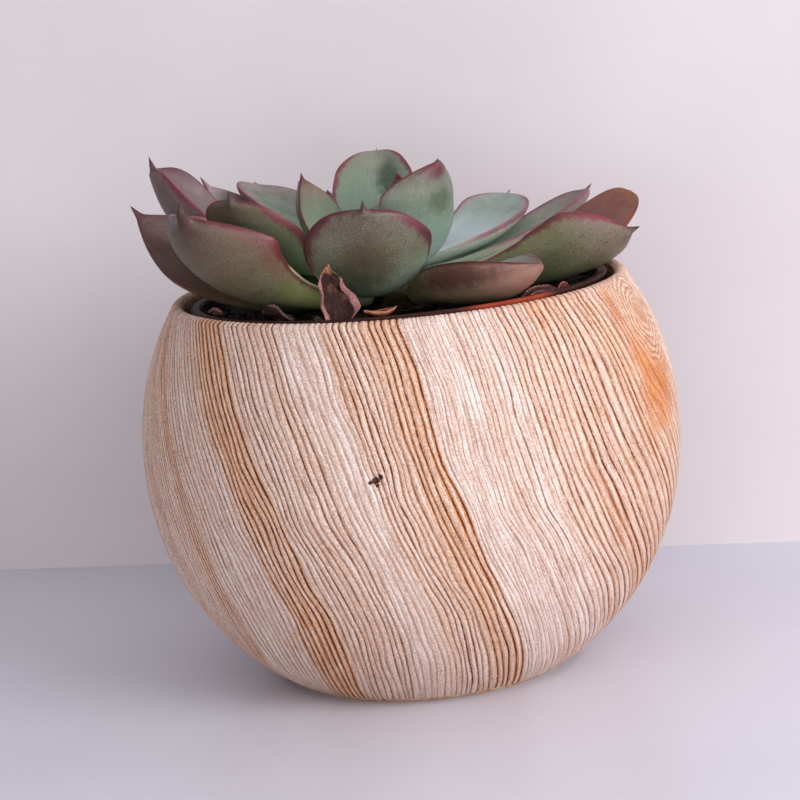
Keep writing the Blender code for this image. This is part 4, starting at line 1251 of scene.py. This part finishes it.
def make_stem(mat):
    profile = [(0.02, 90.1), (0.7, 89.8), (1.0, 88.3), (1.25, 87.0), (2.3, 85.9), (2.8, 84.5), (2.85, 83.0), (3.3, 81.4), (4.8, 79.9), (5.5, 77.8), (5.5, 74.8), (3.5, 65.2), (2.4, 64.0), (0.02, 64.0)]
    fine = []
    for (r0, z0), (r1, z1) in zip(profile, profile[1:]):
        for k in range(5):
            fine.append((r0 + (r1 - r0) * k / 5, z0 + (z1 - z0) * k / 5))
    fine.append(profile[-1])
    table = lattice(500, 16, 40)

    def scars(i, a, r, z):
        rings = 0.10 * np.sin(z * 5.2 + np.sin(a * 3) * 0.8)
        return np.maximum(r + (rings + 0.12 * noise2(table, a / (2 * np.pi) * 16, z * 1.3)) * (r > 0.5) - 0.12 * (r > 0.6), 0.01), z

    obj = turned("rosette_stem_fine", fine, 72, [mat], scars)
    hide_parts("rosette_stem")
    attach(obj, "root")


# ------------------------------------------------------------------ room, light, camera
def stage_material(name, low, high, roughness, specular, scale):
    n = Nodes(name, roughness=roughness, specular=specular)
    at = n.object_mm()
    colour = n.ramp(n.noise(at, scale, 3.0, 0.5), [(0.35, lin(*low)), (0.65, lin(*high))])
    n.set("Base Color", colour)
    n.set("Normal", n.bump(n.noise(at, scale * 9, 3.0, 0.5), 0.0002, 0.25))
    return n.mat


def make_room():
    floor_mat = stage_material("bench_top", (207, 207, 219), (212, 212, 224), 0.3, 0.4, 0.01)
    wall_mat = stage_material("back_wall", (206, 200, 205), (211, 205, 210), 0.9, 0.1, 0.012)
    reach = 3000.0
    floor = make_mesh("bench", [(-reach, -reach, 0), (reach, -reach, 0), (reach, reach, 0), (-reach, reach, 0)], [(0, 1, 2, 3)], [floor_mat])
    a, b = np.array([-105.9, 104.6]), np.array([89.1, 66.0])
    way = (b - a) / np.linalg.norm(b - a)
    left, right = a - way * 1500, a + way * 1800
    wall = make_mesh(
        "wall",
        [(left[0], left[1], 0), (right[0], right[1], 0), (right[0], right[1], 1600), (left[0], left[1], 1600)],
        [(0, 1, 2, 3)],
        [wall_mat],
    )
    # the wall has one face, so the bowl's back and far side can be looked at past it
    nodes, links = wall_mat.node_tree.nodes, wall_mat.node_tree.links
    mix, clear, side = (nodes.new("ShaderNode" + kind) for kind in ("MixShader", "BsdfTransparent", "NewGeometry"))
    links.new(side.outputs["Backfacing"], mix.inputs[0])
    links.new(nodes["Principled BSDF"].outputs[0], mix.inputs[1])
    links.new(clear.outputs[0], mix.inputs[2])
    links.new(mix.outputs[0], nodes["Material Output"].inputs["Surface"])


def area_light(name, place, target, size, power, colour):
    data = bpy.data.lights.new(name, "AREA")
    data.shape = "RECTANGLE"
    data.size, data.size_y = size
    data.energy = power
    data.color = colour
    obj = bpy.data.objects.new(name, data)
    obj.location = place
    obj.rotation_euler = (Vector(target) - Vector(place)).to_track_quat("-Z", "Y").to_euler()
    SCENE.collection.objects.link(obj)
    return obj


def make_light():
    world = bpy.data.worlds.new("room")
    SCENE.world = world
    world.use_nodes = True
    back = world.node_tree.nodes["Background"]
    back.inputs[0].default_value = (1.0, 0.965, 0.97, 1.0)
    back.inputs[1].default_value = 0.44
    area_light("window", (0.62, -0.56, 0.36), (0.0, 0.0, 0.05), (0.45, 0.45), 6.4, (1.0, 0.985, 0.99))
    area_light("sky", (0.10, -0.80, 0.62), (0.0, 0.0, 0.05), (0.8, 0.6), 1.6, (0.98, 0.98, 1.0))
    area_light("room", (-0.08, -0.85, 0.10), (0.0, 0.0, 0.05), (0.7, 0.25), 2.3, (1.0, 0.98, 0.96))


def make_camera():
    """Eye 500 mm in front of the bowl's axis, a little above it, rolled 5 degrees."""
    distance, above, middle, focal, roll = 500.0, 107.5, 47.0, 2482.0, math.radians(4.99)
    centre_x, centre_y = 411.6, 438.3
    eye = np.array([0.0, -distance, middle + above])
    ahead = np.array([0.0, 0.0, middle]) - eye
    ahead /= np.linalg.norm(ahead)
    right = np.cross(ahead, [0.0, 0.0, 1.0])
    right /= np.linalg.norm(right)
    up = np.cross(right, ahead)
    right, up = right * math.cos(roll) - up * math.sin(roll), right * math.sin(roll) + up * math.cos(roll)
    dx, dy = (centre_x - 400) / focal, (centre_y - 400) / focal
    ahead = ahead - dx * right + dy * up
    ahead /= np.linalg.norm(ahead)
    right = right - ahead * np.dot(right, ahead)
    right /= np.linalg.norm(right)
    up = np.cross(right, ahead)
    data = bpy.data.cameras.new("camera")
    data.sensor_fit = "HORIZONTAL"
    data.sensor_width = 36.0
    data.lens = focal / 800.0 * 36.0
    data.clip_start, data.clip_end = 0.01, 50.0
    cam = bpy.data.objects.new("camera", data)
    m = Matrix.Identity(4)
    for row in range(3):
        m[row][0], m[row][1], m[row][2], m[row][3] = right[row], up[row], -ahead[row], eye[row] * MM
    cam.matrix_world = m
    SCENE.collection.objects.link(cam)
    SCENE.camera = cam


# ------------------------------------------------------------------ put together
make_camera()
make_bowl(bowl_wood_material(), bowl_inside_material())
for i, (name, row) in enumerate(LEAVES.items()):
    add_leaf(name, row, i)
for i, (name, row) in enumerate(DRY_LEAVES.items()):
    add_dry(name, row, i)
make_soil(soil_materials())
make_stem(bark_material())
pot = frame["nodes"]["nursery_pot"]
pot.data.materials.clear()
pot.data.materials.append(plastic_material())
make_room()
make_light()
SCENE.view_settings.view_transform = "Standard"
SCENE.view_settings.look = "None"
